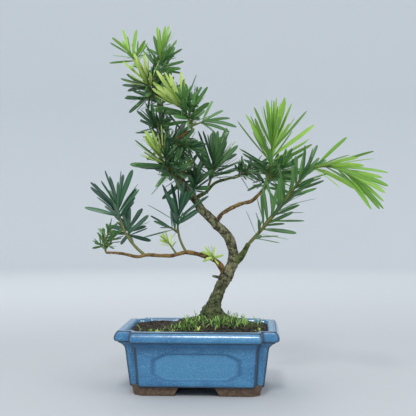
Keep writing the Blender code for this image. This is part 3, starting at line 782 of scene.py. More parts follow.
@dataclass
class Plant:
    """The tree above the soil: lines of its limbs and stems, twigs and leaves."""

    paths: dict = field(default_factory=dict)

    def __post_init__(self) -> None:
        """Works out every limb's line."""
        self.paths = {name: (smooth_path(limb.points), limb.radii) for name, limb in LIMBS.items()}

    def stems(self, name: str) -> list[tuple[Shoot, Points]]:
        """The mass's stem, re-cut to begin clear of its carrier, with its twigs and their side twigs.

        Args:
            name: the mass.

        Returns:
            Each shoot with its line.
        """
        mass = FOLIAGE[name]
        stem = mass.stem
        carrier_path, carrier_radii = self.paths[mass.carrier]
        path = stem_path(point_at(carrier_path, stem.at), stem)
        start = clear_start(path, stem.radius, carrier_path, carrier_radii)
        path = point_at(path, np.linspace(start, 1, len(path)))
        self.paths[name] = (path, (stem.radius, stem.radius * TIP_SHARE))
        twigs = [*mass.twigs, *(side_twigs(stem) if mass.bushy else ())]
        return [(stem, path)] + [(twig, stem_path(point_at(path, twig.at), twig)) for twig in twigs]

    def clear_of_limbs(self, leaves: Leaves) -> Points:
        """Whether each leaf's midline past its root stays off the limbs' bark.

        Args:
            leaves: the leaves.

        Returns:
            Whether each of them is clear.
        """
        samples = leaves.midline((0.2, 0.4, 0.6, 0.8, 1.0))
        near = [limb_distance(samples, *self.paths[name]).min(axis=1) for name in LIMBS]
        return np.min(near, axis=0) > BARK_ROOM

    def build_mass(self, name: str, finishes: dict) -> None:
        """Twigs, grown leaves and new leaves of one mass, each kind joined into a piece.

        Args:
            name: the mass.
            finishes: materials by tint or name.
        """
        mass = FOLIAGE[name]
        root = point_at(self.paths[mass.carrier][0], mass.stem.at)
        grown, new, twigs = [], [], []
        for shoot, path in self.stems(name):
            line = np.vstack([root, path]) if shoot is mass.stem else path
            rings = 4 + int(path_length(line) / 3)
            twigs.append(tube(smooth_path(line, 3), shoot.radius, shoot.radius * TIP_SHARE, 10, rings))
            for between in (False, True):
                leaves, is_new = shoot_leaves(shoot, path, between)
                clear = self.clear_of_limbs(leaves)
                grown.append(leaves.keep(clear & ~is_new))
                new.append(leaves.keep(clear & is_new))
        make_piece(f"{name}_twigs", *join(twigs), finishes["twig"], mass.slot, (name,), sharp=70)
        for part, group, tint in (("leaves", grown, mass.grown), ("new_leaves", new, mass.new)):
            leaves = stack_leaves(group)
            if len(leaves.root):
                points, faces, values = leaves.mesh()
                make_piece(f"{name}_{part}", points, faces, finishes[tint], mass.slot, (name,), sharp=50,
                           values=values)

    def build(self, finishes: dict) -> None:
        """Every mass, in the order in which one carries the next.

        Args:
            finishes: materials by tint or name.
        """
        for name in FOLIAGE:
            self.build_mass(name, finishes)


@dataclass
class Bark:
    """Trunk and boughs as tubes with the relief of old bark.

    ridges: lobes of the root flare, each with its number, height and phase. ridge_share: how far up
    they run. depth: of the relief over the radius. stretch: how much fissures are drawn out along
    the limb. joint: the rings' spacing, tilt, width and height. collar: height and reach of the
    swelling at a bough's root. tip: where a limb's end starts to round off, and over what share.
    green: limbs whose bark is young. snags: place, heading and rise, length and radius.
    """

    ridges: tuple = ((5, 0.2, 0.6), (2, 0.08, 0.0))
    ridge_share: float = 0.1
    depth: float = 0.27
    stretch: float = 0.32
    fissure_size: float = 5.5
    knot_size: float = 19.0
    joint: tuple = (17.0, 4.0, 1.6, 0.07)
    collar: tuple = (0.5, 5.0)
    tip: tuple = (0.985, 0.03)
    ring_spacing: float = 0.9
    trunk_sides: int = 72
    bough_sides: int = 28
    green: tuple = ("long_shoot", "centre_bough")
    snags: tuple = (("trunk_snag", (24, -1, 141), (-150, 12), 8.5, 1.9),
                    ("trunk_nub", (42, -1, 183), (-40, 25), 5.5, 2.6))
    cut_radii: tuple = (4.6, 4.7, 4.4, 3.4, 1.6)

    def relief(self, name: str, radius: Points, run: Points, turn: Points) -> Points:
        """Factor on the radius: one plus fissures, knots, joints, and the root's ridges or collar.

        Fissures are the negative of the absolute value of waves drawn out along the limb, knots are
        slow waves, joints are evenly spaced rings, and the collar swells the root of a bough.

        Args:
            name: the limb's name.
            radius: its radius, one a ring.
            run: way along it, one row a ring.
            turn: angle round it, one column a side.

        Returns:
            The factor for every point.
        """
        seed = 11 * len(name) + len(LIMBS[name].points)
        x, y = radius[:, None] * np.cos(turn), radius[:, None] * np.sin(turn)
        drawn = np.stack([x, y, self.stretch * run + 0 * turn], axis=-1)
        fissures = 0.5 - 1.6 * np.abs(waves(drawn, self.fissure_size, seed))
        knots = waves(np.stack([x, y, run + 0 * turn], axis=-1), self.knot_size, seed + 1, 2)
        spacing, tilt, width, rise = self.joint
        joints = rise * bell((run + tilt * np.sin(turn)) % spacing, spacing / 2, width)
        relief = 1 + self.depth * (0.6 * fissures + 0.55 * knots) + joints
        if LIMBS[name].carrier:
            return relief + self.collar[0] * np.exp(-run / self.collar[1])
        fade = np.clip(1 - run / run[-1] / self.ridge_share, 0, 1)
        flare = sum(height * np.cos(count * turn + phase) for count, height, phase in self.ridges)
        return relief + fade * flare

    def limb(self, name: str) -> tuple[Points, Faces]:
        """A limb as a closed skin with its relief, rounded off at the tip.

        Args:
            name: the limb's name.

        Returns:
            Points and faces.
        """
        path = smooth_path(LIMBS[name].points)
        length = path_length(path)
        sides = self.bough_sides if LIMBS[name].carrier else self.trunk_sides
        at = np.linspace(0, 1, int(length / self.ring_spacing))
        turn = np.linspace(0, 2 * math.pi, sides, endpoint=False)[None]
        radius = radius_at(LIMBS[name].radii, at)
        relief = self.relief(name, radius, at[:, None] * length, turn)
        start, reach = self.tip
        rounding = np.sqrt(np.clip(1 - ((at - start) / reach).clip(0, 1) ** 2, 0.2, 1))
        return closed_grid(carry(point_at(path, at), radius * rounding, sides, relief))

    def build(self, finishes: dict) -> None:
        """Every limb, and the cut face, snag and nub of the trunk.

        Args:
            finishes: materials by tint or name.
        """
        for name in LIMBS:
            kind = "bough" if LIMBS[name].carrier else "trunk"
            finish = finishes["green" if name in self.green else kind]
            make_piece(f"{name}_bark", *self.limb(name), finish, f"{kind}_bark", (name,), sharp=80)
        for name, place, (heading, rise), length, radius in self.snags:
            line = np.array(place) + np.linspace(-0.5, 1, 7)[:, None] * length * direction(heading, rise)
            make_piece(name, *tube(line, 1.2 * radius, 0.7 * radius, 14, 9), finishes["trunk"], "trunk_bark")
        path = smooth_path(LIMBS["trunk"].points)
        axis = direction_at(path, np.array([1.0]))[0]
        line = path[-1] + axis * 0.2 + np.linspace(-1.0, 1.3, 5)[:, None] * axis
        make_piece("pruning_cut", *closed_grid(carry(line, np.array(self.cut_radii), 28)), finishes["cut"],
                   "trunk_bark")


def at_level(outline: Points, level: float) -> Points:
    """An outline as points at a level."""
    return np.column_stack([outline, np.full(len(outline), level)])


@dataclass
class Pot:
    """The rectangular pot with stepped corners, a flat lip and a sunk cartouche on either long face.

    step_fade: the inset at which the corners' step would be gone. base, body and band: inset and
    height of the outlines under the pot, up its wall, and over the band and the lip. lip_edge: how
    far each outline there lies inside the lip's inner edge, and its height. run: points on a long
    straight run. The glaze's bells are a level and a width.
    """

    width: float = 200.0
    depth: float = 155.0
    top: float = 80.0
    step: tuple = (20.0, 17.0)
    step_fade: float = 38.0
    rounding: float = 3.0
    lip: float = 13.0
    slope: float = 0.26
    cavity_step: tuple = (13.0, 11.0)
    cavity_rounding: float = 5.0
    cavity_rows: int = 12
    floor: float = 25.0
    panel: tuple = (107.0, 34.0)
    panel_level: float = 36.0
    panel_depth: float = 1.7
    panel_power: float = 5.0
    panel_rim: tuple = (1.08, 0.2)
    hole_radius: float = 7.0
    hole_spacing: float = 80.0
    hole_levels: tuple = (5.0, 20.0, 35.0)
    arc: int = 7
    run: int = 72
    base: tuple = ((60.0, 14.0), (27.5, 14.0), (26.5, 11.0))
    body: tuple = ((19.4, 11.0), (18.2, 11.4), (17.5, 13.0), (15.8, 26.0), (14.0, 40.0), (13.0, 49.0),
                   (12.0, 56.5), (10.8, 60.2), (7.6, 63.4), (4.4, 65.4), (3.4, 66.6))
    band: tuple = ((3.4, 66.6), (1.2, 67.1), (-0.2, 68.4), (-0.9, 70.2), (-0.8, 72.2), (-0.2, 74.2),
                   (0.6, 75.9), (1.7, 77.5), (2.7, 78.7), (3.5, 79.5), (4.6, 80.1), (7.8, 80.3),
                   (10.6, 80.1), (12.1, 79.6))
    band_end: float = 8.0
    lip_edge: tuple = ((3.2, 80.2), (1.4, 79.8), (0.5, 79.2), (0.0, 78.0))
    thin_at_rim: tuple = (79.2, 0.75)
    thin_in_rim: tuple = (79.0, 0.5)
    thin_at_band: tuple = (66.6, 1.3)
    thin_at_foot: tuple = (11.6, 1.6)
    # painted shade in the hollow under the band: its level and width
    shade_under_band_at: tuple = (61.0, 3.5)

    def outline(self, inset: float, step: tuple, rounding: float) -> Points:
        """The stepped rectangle: twelve quarter-circle corners joined by straight runs.

        Args:
            inset: how far it lies inside the rim's outline.
            step: size of the square step at each corner.
            rounding: radius of the corners.

        Returns:
            The outline, counter-clockwise, always with the same number of points.
        """
        half_x, half_y = self.width / 2 - inset, self.depth / 2 - inset
        step_x, step_y = step
        quarter = [((half_x, half_y - step_y), 0, 1), ((half_x - step_x, half_y - step_y), 270, -1),
                   ((half_x - step_x, half_y), 0, 1)]
        corners = []
        for side_x, side_y in ((1, 1), (-1, 1), (-1, -1), (1, -1)):
            flipped = side_x != side_y
            for (x, y), start, bulge in (quarter[::-1] if flipped else quarter):
                angles = np.radians(np.linspace(start, start + 90 * bulge, self.arc))
                ring = np.stack([x - bulge * rounding + rounding * np.cos(angles),
                                 y - bulge * rounding + rounding * np.sin(angles)], axis=-1)
                corners.append((ring[::-1] if flipped else ring) * [side_x, side_y])
        pieces = []
        counts = (4, 4, self.run, 4, 4, self.run // 2) * 2
        for ring, following, count in zip(corners, corners[1:] + corners[:1], counts):
            t = np.linspace(0, 1, count + 1, endpoint=False)[1:, None]
            pieces += [ring, ring[-1] + t * (following[0] - ring[-1])]
        return np.vstack(pieces)

    def outer(self, inset: float) -> Points:
        """Outer outline, its step shrinking with the inset.

        Args:
            inset: how far it lies inside the rim's outline.

        Returns:
            The outline.
        """
        shrink = 1 - inset / self.step_fade
        return self.outline(inset, (self.step[0] * shrink, self.step[1] * shrink), self.rounding)

    def inner(self, level: float, clearance: float = 0.0) -> Points:
        """Inner outline at a level: the cavity narrows by the slope downwards.

        Args:
            level: height.
            clearance: how much further in it lies.

        Returns:
            The outline.
        """
        inset = self.lip + self.slope * (self.top - level) + clearance
        return self.outline(inset, self.cavity_step, self.cavity_rounding)

    def corner_lines(self) -> Points:
        """One at the middle of every rounded corner of the outline, falling to nothing at its ends.

        Returns:
            One value for each point of an outline.
        """
        outline = self.outer(0.0)
        following = np.roll(outline, -1, axis=0) - outline
        heading = np.arctan2(following[:, 1], following[:, 0])
        turn = np.abs((heading - np.roll(heading, 1) + math.pi) % (2 * math.pi) - math.pi)
        bent = np.clip(turn / math.radians(12), 0, 1)
        return np.minimum(bent, np.minimum(np.roll(bent, 1), np.roll(bent, -1)))

    def sink_panels(self, grid: Points) -> Points:
        """How deep each point lies in a panel, 0 to 1: a smooth step of a superellipse's distance.

        Args:
            grid: points of the wall.

        Returns:
            Depth shares.
        """
        x = np.abs(grid[..., 0]) / (self.panel[0] / 2)
        z = np.abs(grid[..., 2] - self.panel_level) / (self.panel[1] / 2)
        round_reach = (x**self.panel_power + z**self.panel_power) ** (1 / self.panel_power)
        reach = np.maximum(round_reach, (x + 0.62 * z) / 1.32)
        on_long_face = np.abs(grid[..., 1]) > self.depth / 2 - 24
        start, width = self.panel_rim
        return on_long_face * ease((start - reach) / width)

    def glaze_values(self, level: Points, sunk: Points, on_wall: Points, outside: Points) -> dict:
        """Where the glaze runs thin, where shade is painted, and the panels.

        It runs thin where the surface bends most: bells round the levels of the band's rims, the
        foot and the rim's inner edge, and the corners. Painted shade darkens the panels' sunk edges and the
        hollow under the band.

        Args:
            level: height of each point, by outline and place on it.
            sunk: depth shares of the panels.
            on_wall: which outlines lie below the band.
            outside: which outlines lie below the rim's inner edge.

        Returns:
            Named values for each point.
        """
        row = np.arange(len(level))[:, None]
        on_band = ~on_wall & (row < outside.sum() - 2)
        below_rim = (row >= len(self.base)) & (level < 79.0) & outside
        thin = (bell(level, *self.thin_at_rim) * on_band + 0.85 * bell(level, *self.thin_at_band) * outside
                + bell(level, *self.thin_at_foot) * on_wall + 0.8 * self.corner_lines() * below_rim
                + 0.6 * bell(level, *self.thin_in_rim) * ~outside * (level > 77))
        # painted shade: darker blue round the panels' sunk edges and in the hollow under the band
        pooled = np.clip(3.2 * sunk * (1 - sunk), 0, 1) + 0.5 * bell(level, *self.shade_under_band_at) * on_wall
        poles = (0, 0)
        return {"thin": np.append(np.clip(thin, 0, 1), poles), "pooled": np.append(pooled, poles),
                "panel": np.append(sunk, poles)}

    def build(self, glaze: bpy.types.Material) -> None:
        """The pot: outlines lofted up the body, over the band and lip, and down the cavity.

        Args:
            glaze: its finish.
        """
        wall = [*self.base, *smooth_path(self.body, 7)[:-1]]
        band = [place for place in smooth_path(self.band, 6) if place[0] < self.band_end]
        cavity = [(self.inner(self.top, -reach), level) for reach, level in self.lip_edge]
        cavity += [(self.inner(level), level) for level in np.linspace(76, self.floor, self.cavity_rows)]
        cavity += [(self.inner(self.floor, 25.0), self.floor)]
        outlines = [(self.outer(inset), level) for inset, level in wall + band] + cavity
        grid = np.array([at_level(outline, level) for outline, level in outlines])
        row = np.arange(len(grid))[:, None]
        on_wall, outside = row < len(wall), row < len(wall) + len(band)
        sunk = self.sink_panels(grid) * on_wall
        grid[..., 1] -= np.sign(grid[..., 1]) * self.panel_depth * sunk
        values = self.glaze_values(grid[..., 2], sunk, on_wall, outside)
        pot = make_piece("pot_shell", *closed_grid(grid), glaze, "pot_glaze", ("pot",), sharp=50,
                         values=values)
        self.drill(pot)

    def drill(self, pot: bpy.types.Object) -> None:
        """Cuts the two drain holes through the floor, each with a tube as the cutter.

        Args:
            pot: the closed shell.
        """
        for side in (-1, 1):
            line = np.array([[side * self.hole_spacing / 2, 0, level] for level in self.hole_levels])
            radius = np.full(len(line), self.hole_radius)
            cutter = make_piece("drill", *closed_grid(carry(line, radius, 32)), pot.data.materials[0], "")
            bore = pot.modifiers.new("bore", "BOOLEAN")
            bore.operation = "DIFFERENCE"
            bore.solver = "EXACT"
            bore.object = cutter
            graph = bpy.context.evaluated_depsgraph_get()
            mesh = bpy.data.meshes.new_from_object(pot.evaluated_get(graph))
            pot.modifiers.clear()
            pot.data = mesh
            bpy.data.objects.remove(cutter, do_unlink=True)


@dataclass
class Feet:
    """Four clay brackets under the pot's corners, drawn in towards the ground, with slanting ends."""

    pot: Pot
    top: float = 13.7
    upper_inset: float = 19.8
    lower_inset: float = 22.8
    corner: tuple = (9.5, 8.0)
    arm: tuple = (51.0, 40.0)
    thickness: float = 18.0
    slant: float = 11.5
    edge: float = 0.9

    def outline(self, inset: float, slant: float) -> Points:
        """Outline of the foot in the quarter where X and Y are positive.

        Args:
            inset: how far it lies inside the rim's outline.
            slant: how much shorter its arms are.

        Returns:
            Its eight corners.
        """
        x, y = self.pot.width / 2 - inset, self.pot.depth / 2 - inset
        corner_x, corner_y = self.corner
        end_x, end_y = x - self.arm[0] - corner_x + slant, y - self.arm[1] - corner_y + slant
        inner_x, inner_y = x - self.thickness, y - self.thickness
        return np.array([
            (end_x, y), (x - corner_x, y), (x - 0.55 * corner_x, y - 0.45 * corner_y), (x, y - corner_y),
            (x, end_y), (inner_x, end_y), (inner_x, inner_y), (end_x, inner_y)])

    def build(self, clay: bpy.types.Material) -> None:
        """Each foot lofted between its two outlines, its edges bevelled.

        Args:
            clay: their finish.
        """
        rings = np.array([at_level(self.outline(self.lower_inset, self.slant), 0.0),
                          at_level(self.outline(self.upper_inset, 0.0), self.top)])
        around = np.arange(rings.shape[1])[None]
        faces = [grid_faces(*rings.shape[:2]), around[:, ::-1], around + rings.shape[1]]
        for side_x, side_y, name in ((-1, -1, "front_left"), (1, -1, "front_right"),
                                     (-1, 1, "back_left"), (1, 1, "back_right")):
            placed = (rings * [side_x, side_y, 1.0]).reshape(-1, 3)
            foot = make_piece(f"clay_{name}", placed, faces, clay, "foot_clay", (f"foot_{name}",), sharp=30)
            bevel = foot.modifiers.new("edges", "BEVEL")
            bevel.width = self.edge * MM
            bevel.segments = 3
            bevel.limit_method = "ANGLE"


@dataclass
class Ground:
    """Soil in the pot, with grains, moss cushions, small grass and yellow-green seedlings.

    moss and grass: patches, each with how many are drawn, its middle and its standard deviations.
    seedlings: places of the tufts, each of six leaves. seeds: of the grains and of the growth.
    lumps: height, size and seed of the soil's waves.
    """

    pot: Pot
    edge_level: float = 75.0
    crown: float = 87.7
    crown_radius: float = 23.0
    trunk: tuple = (17.0, 0.0)
    floor: float = 25.3
    lumps: tuple = ((1.3, 26.0, 5), (0.55, 4.2, 6))
    seeds: tuple = (61, 62)
    grain_count: int = 1500
    grain_reach: tuple = (84, 62)
    moss: tuple = ((620, (18, -22), (16, 7)), (520, (56, -14), (9, 9)), (260, (70, 6), (6, 9)),
                   (360, (-14, -30), (9, 6)), (420, (35, 30), (20, 12)), (160, (-52, -30), (7, 6)),
                   (300, (0, -6), (10, 10)))
    grass: tuple = ((60, (30, -26), (12, 10)), (46, (52, -22), (8, 8)), (84, (-6, -34), (11, 8)),
                    (16, (-24, -38), (6, 6)), (34, (28, -40), (9, 6)), (40, (40, 28), (24, 12)),
                    (14, (-40, -40), (22, 8)), (26, (2, -8), (8, 8)))
    seedlings: tuple = ((-50, -46), (-44, -44), (-30, -50), (-58, -40), (76, -30), (2, -50))

    def height(self, places: Points) -> Points:
        """Height of the soil: a smooth climb from the edge to the crown, with lumps and grit.

        Args:
            places: X and Y, one row a place.

        Returns:
            Heights.
        """
        x, y = places[..., 0] - self.trunk[0], places[..., 1] - self.trunk[1]
        reach = np.hypot(np.clip(x, -95, 66) / 66, y / 62) * 66
        climb = ease(1 - (np.maximum(np.hypot(x, y), 0.82 * reach) - self.crown_radius) / 52)
        lumps = sum(height * waves(places, size, seed) for height, size, seed in self.lumps)
        mound = self.edge_level + 0.6 + (self.crown - self.edge_level - 0.4) * climb
        return mound + lumps * (1 - 0.5 * climb)

    def soil(self, material: bpy.types.Material) -> None:
        """The soil's body: rings from the floor's middle out, up the wall, and in over the mound.

        Args:
            material: its finish.
        """
        edge = self.pot.inner(self.edge_level, 0.25)
        base = self.pot.inner(self.floor, 0.3)
        rings = [at_level(0.4 * base, self.floor), at_level(base, self.floor),
                 at_level(edge, self.edge_level - 1.5)]
        for share in np.linspace(0, 0.96, 56):
            places = edge + (np.array(self.trunk) - edge) * share
            rings.append(np.column_stack([places, self.height(places)]))
        make_piece("soil_bed", *closed_grid(np.array(rings)), material, "soil", ("soil",), sharp=75)

    def inside(self, places: Points, reach: tuple, corner: tuple, clear: float) -> Points:
        """The places within the reach that lie off the corners and clear of the trunk.

        Args:
            places: X and Y, one row a place.
            reach: the largest distances from the middle.
            corner: distances beyond both of which a place lies in a corner.
            clear: least distance from the trunk's middle.

        Returns:
            Those places.
        """
        away = np.abs(places)
        kept = (away < reach).all(axis=1) & ~(away > corner).all(axis=1)
        return places[kept & (np.hypot(*(places - self.trunk).T) > clear)]

    def scatter(self, patches: tuple, random: np.random.Generator) -> Points:
        """Places on the soil in soft patches, kept inside the lip and off the trunk.

        Args:
            patches: how many are drawn, middle and standard deviations of each patch.
            random: source of the draws.

        Returns:
            Places with their height.
        """
        rows = []
        for count, middle, spread in patches:
            places = np.array(middle) + random.normal(size=(count, 2)) * spread
            places = self.inside(places, reach=(82, 60), corner=(70, 50), clear=17)
            rows.append(np.column_stack([places, self.height(places)]))
        return np.vstack(rows)

    def blades(self, roots: Points, random: np.random.Generator, length: tuple, width: float, lean: float,
               bow: float) -> Leaves:
        """Upright blades: each leans a random way and bends over by the bow.

        Args:
            roots: where they stand.
            random: source of the draws.
            length: least and greatest length.
            width: middle width.
            lean: standard deviation of the lean, in radians.
            bow: sideways bend over the length.

        Returns:
            The blades.
        """
        count = len(roots)
        turn = random.uniform(0, 2 * math.pi, count)
        tilt = np.abs(random.normal(0, lean, count))[:, None]
        side = np.stack([np.cos(turn), np.sin(turn), 0 * turn], axis=-1)
        up = np.array([0.0, 0.0, 1.0])
        along = np.cos(tilt) * up + np.sin(tilt) * side
        upper = np.sin(tilt) * up - np.cos(tilt) * side
        size = random.uniform(*length, count)
        widths = width * random.uniform(0.7, 1.3, count)
        flat = np.zeros(count)
        return Leaves(roots - 0.8 * along, along, upper, bow * side - 0.5 * bow * up, size, widths, flat,
                      random.uniform(0, 1, count), flat)

    def grains(self, material: bpy.types.Material) -> None:
        """Soil grains: small lumps, each a squashed ball of three rings with rough radii.

        Args:
            material: their finish.
        """
        random = np.random.default_rng(self.seeds[0])
        drawn = [random.uniform(-reach, reach, self.grain_count) for reach in self.grain_reach]
        places = self.inside(np.column_stack(drawn), reach=self.grain_reach, corner=(70, 49), clear=16)
        centre = np.column_stack([places, self.height(places) + 0.1])
        size = 0.6 + 1.9 * random.uniform(0, 1, (len(places), 1, 1, 1)) ** 2
        rise = np.radians([-55, 0, 50])[:, None, None]
        turn = np.linspace(0, 2 * math.pi, 6, endpoint=False)[:, None] + random.uniform(0, 6, size.shape)
        rough = random.uniform(0.75, 1.2, (len(places), 3, 6, 1))
        ball = np.concatenate([np.cos(rise) * np.cos(turn), np.cos(rise) * np.sin(turn),
                               0.75 * np.sin(rise) + 0 * turn], axis=-1)
        balls = centre[:, None, None] + size * rough * ball
        make_piece("soil_grains", *join([closed_grid(one) for one in balls]), material, "soil", sharp=35)

    def growth(self, finishes: dict) -> None:
        """Moss tufts, grass and seedlings, each kind joined into one piece.

        Args:
            finishes: materials by tint or name.
        """
        random = np.random.default_rng(self.seeds[1])
        tufts = self.blades(self.scatter(self.moss, random), random, length=(1.4, 3.2), width=0.8,
                            lean=0.8, bow=0.1)
        stalks = self.blades(self.scatter(self.grass, random), random, length=(6.0, 14.0), width=1.15,
                             lean=0.6, bow=0.35)
        spots = np.array(self.seedlings, float)
        seedlings = [self.blades(np.repeat([root], 6, axis=0), random, length=(4.0, 7.5), width=1.9,
                                 lean=0.9, bow=0.15)
                     for root in np.column_stack([spots, self.height(spots)])]
        for name, leaves, finish, sections in (
                ("moss", tufts, "moss", (0, 0.4, 0.8)),
                ("grass", stalks, "grass", (0, 0.25, 0.5, 0.75, 0.92)),
                ("seedlings", stack_leaves(seedlings), Tint.PALE, (0, 0.2, 0.45, 0.7, 0.9))):
            points, faces, values = leaves.mesh(sections)
            make_piece(name, points, faces, finishes[finish], "soil", sharp=50, values=values)

    def build(self, finishes: dict) -> None:
        """The soil, its grains and what grows on it.

        Args:
            finishes: materials by tint or name.
        """
        self.soil(finishes["soil"])
        self.grains(finishes["grit"])
        self.growth(finishes)


# Finishes

class Sheet:
    """A material's node tree with short ways to add and join nodes."""

    def __init__(self, name: str) -> None:
        """Starts a material with its principled shader.

        Args:
            name: the material's name.
        """
        self.material = bpy.data.materials.new(name)
        self.material.use_nodes = True
        self.tree = self.material.node_tree
        self.shader = self.tree.nodes["Principled BSDF"]

    def feed(self, socket: bpy.types.NodeSocket, value: object) -> None:
        """Links a socket to an input, or sets the input's value, a colour with full alpha.

        Args:
            socket: the input.
            value: another node's output, a number or a linear colour.
        """
        if isinstance(value, bpy.types.NodeSocket):
            self.tree.links.new(value, socket)
        else:
            socket.default_value = (*value, 1.0) if socket.type == "RGBA" else value

    def node(self, kind: str, tree: bpy.types.NodeTree | None = None, **inputs) -> bpy.types.Node:
        """A node with some inputs fed. Underscores in their names stand for spaces.

        Args:
            kind: its type.
            tree: the node group that it places, if any.
            inputs: values or outputs by the input's name.

        Returns:
            The node.
        """
        made = self.tree.nodes.new(kind)
        if tree:
            made.node_tree = tree
        for key, value in inputs.items():
            self.feed(made.inputs[key.replace("_", " ")], value)
        return made

    def mottle(self, **inputs) -> bpy.types.Node:
        """The placed group of noises, made for the first sheet that asks for it."""
        return self.node("ShaderNodeGroup", bpy.data.node_groups.get("mottle") or mottle_group(), **inputs)

    def attribute(self, name: str) -> bpy.types.NodeSocket:
        """A named value of the mesh.

        Args:
            name: the value's name.

        Returns:
            The attribute node's number.
        """
        made = self.node("ShaderNodeAttribute")
        made.attribute_name = name
        return made.outputs["Fac"]

    def math(self, operation: str, first: object, second: object) -> bpy.types.NodeSocket:
        """A number from two others, held between 0 and 1.

        Args:
            operation: what it does.
            first: one number or output.
            second: the other.

        Returns:
            The node's output.
        """
        made = self.node("ShaderNodeMath")
        made.operation = operation
        made.use_clamp = True
        self.feed(made.inputs[0], first)
        self.feed(made.inputs[1], second)
        return made.outputs[0]

    def blend(self, share: object, first: object, second: object,
              strength: float = 1.0) -> bpy.types.NodeSocket:
        """A colour between two.

        Args:
            share: nothing of the second colour where it is 0.
            first: one colour.
            second: the other.
            strength: how much of the second there is where the share is 1.

        Returns:
            The blended colour.
        """
        made = self.node("ShaderNodeMix")
        made.data_type = "RGBA"
        self.feed(made.inputs[0], share if strength == 1.0 else self.math("MULTIPLY", share, strength))
        self.feed(made.inputs[6], first)
        self.feed(made.inputs[7], second)
        return made.outputs[2]

    def bump(self, height: bpy.types.NodeSocket, distance: float, strength: float = 1.0) -> None:
        """Relief on the shader's normal.

        Args:
            height: output that gives the height.
            distance: in metres.
            strength: share of the relief that shows.
        """
        made = self.node("ShaderNodeBump", Strength=strength, Distance=distance, Height=height)
        self.feed(self.shader.inputs["Normal"], made.outputs["Normal"])

    def finish(self, colour: object, roughness: object, **constants) -> bpy.types.Material:
        """Feeds the shader and hands out the material.

        Args:
            colour: of the surface.
            roughness: of the surface.
            constants: values of the shader's other inputs.

        Returns:
            The material.
        """
        self.feed(self.shader.inputs["Base Color"], colour)
        self.feed(self.shader.inputs["Roughness"], roughness)
        for key, value in constants.items():
            self.shader.inputs[key.replace("_", " ")].default_value = value
        return self.material


def mottle_group() -> bpy.types.NodeTree:
    """A node group of two noises on Object coordinates: a Mask between two thresholds, and a Fine grain.

    Returns:
        The group's tree.
    """
    tree = bpy.data.node_groups.new("mottle", "ShaderNodeTree")
    for name, default in (("Scale", 100.0), ("Low", 0.4), ("High", 0.6), ("Fine Scale", 1500.0)):
        socket = tree.interface.new_socket(name=name, in_out="INPUT", socket_type="NodeSocketFloat")
        socket.default_value = default
    for name in ("Mask", "Fine"):
        tree.interface.new_socket(name=name, in_out="OUTPUT", socket_type="NodeSocketFloat")
    inputs, outputs = tree.nodes.new("NodeGroupInput"), tree.nodes.new("NodeGroupOutput")
    place = tree.nodes.new("ShaderNodeTexCoord")
    span = tree.nodes.new("ShaderNodeMapRange")
    for scale, target in (("Scale", span.inputs["Value"]), ("Fine Scale", outputs.inputs["Fine"])):
        noise = tree.nodes.new("ShaderNodeTexNoise")
        noise.inputs["Detail"].default_value = 4.0
        tree.links.new(place.outputs["Object"], noise.inputs["Vector"])
        tree.links.new(inputs.outputs[scale], noise.inputs["Scale"])
        tree.links.new(noise.outputs["Fac"], target)
    tree.links.new(inputs.outputs["Low"], span.inputs["From Min"])
    tree.links.new(inputs.outputs["High"], span.inputs["From Max"])
    tree.links.new(span.outputs["Result"], outputs.inputs["Mask"])
    return tree


@dataclass(frozen=True)
class LeafFinish:
    """Leathery leaf: two greens dealt by each leaf's shade, softly mottled, with a waxy gloss."""

    name: str
    first: tuple
    second: tuple
    roughness: float = 0.42

    def material(self) -> bpy.types.Material:
        """The leaf's material, its midrib paler than the rest.

        Returns:
            The material.
        """
        sheet = Sheet(self.name)
        cloud = sheet.mottle(Scale=160.0, Low=0.35, High=0.7, Fine_Scale=2400.0)
        colour = sheet.blend(sheet.attribute("shade"), self.first, self.second)
        colour = sheet.blend(cloud.outputs["Mask"], colour, self.first, 0.35)
        rib = sheet.math("POWER", sheet.attribute("rib"), 3.0)
        colour = sheet.blend(rib, colour, tuple(0.6 * v + 0.12 for v in self.second), 0.6)
        sheet.bump(cloud.outputs["Fine"], 0.00012, 0.5)
        return sheet.finish(colour, self.roughness)


@dataclass(frozen=True)
class BarkFinish:
    """Rough bark: two browns in flakes, pale where worn and green near the soil.

    moss_level and moss_full: heights in metres at which the green starts and is full, going down.
    """

    name: str
    first: tuple
    second: tuple
    pale: tuple
    moss_level: float = 0.0
    moss_full: float = 0.088
    moss: tuple = (0.035, 0.065, 0.012)

    def material(self) -> bpy.types.Material:
        """The bark's material.

        Returns:
            The material.
        """
        sheet = Sheet(self.name)
        flakes = sheet.mottle(Scale=190.0, Low=0.42, High=0.58, Fine_Scale=620.0)
        worn = sheet.mottle(Scale=430.0, Low=0.54, High=0.66, Fine_Scale=1800.0)
        colour = sheet.blend(flakes.outputs["Mask"], self.first, self.second)
        colour = sheet.blend(worn.outputs["Mask"], colour, self.pale, 0.6)
        if self.moss_level:
            place = sheet.node("ShaderNodeTexCoord")
            split = sheet.node("ShaderNodeSeparateXYZ", Vector=place.outputs["Object"])
            span = sheet.node("ShaderNodeMapRange", Value=split.outputs["Z"], From_Min=self.moss_level,
                              From_Max=self.moss_full)
            green = sheet.math("MULTIPLY", span.outputs["Result"], worn.outputs["Fine"])
            colour = sheet.blend(green, colour, self.moss, 1.5)
        sheet.bump(flakes.outputs["Fine"], 0.0022)
        return sheet.finish(colour, 0.88)


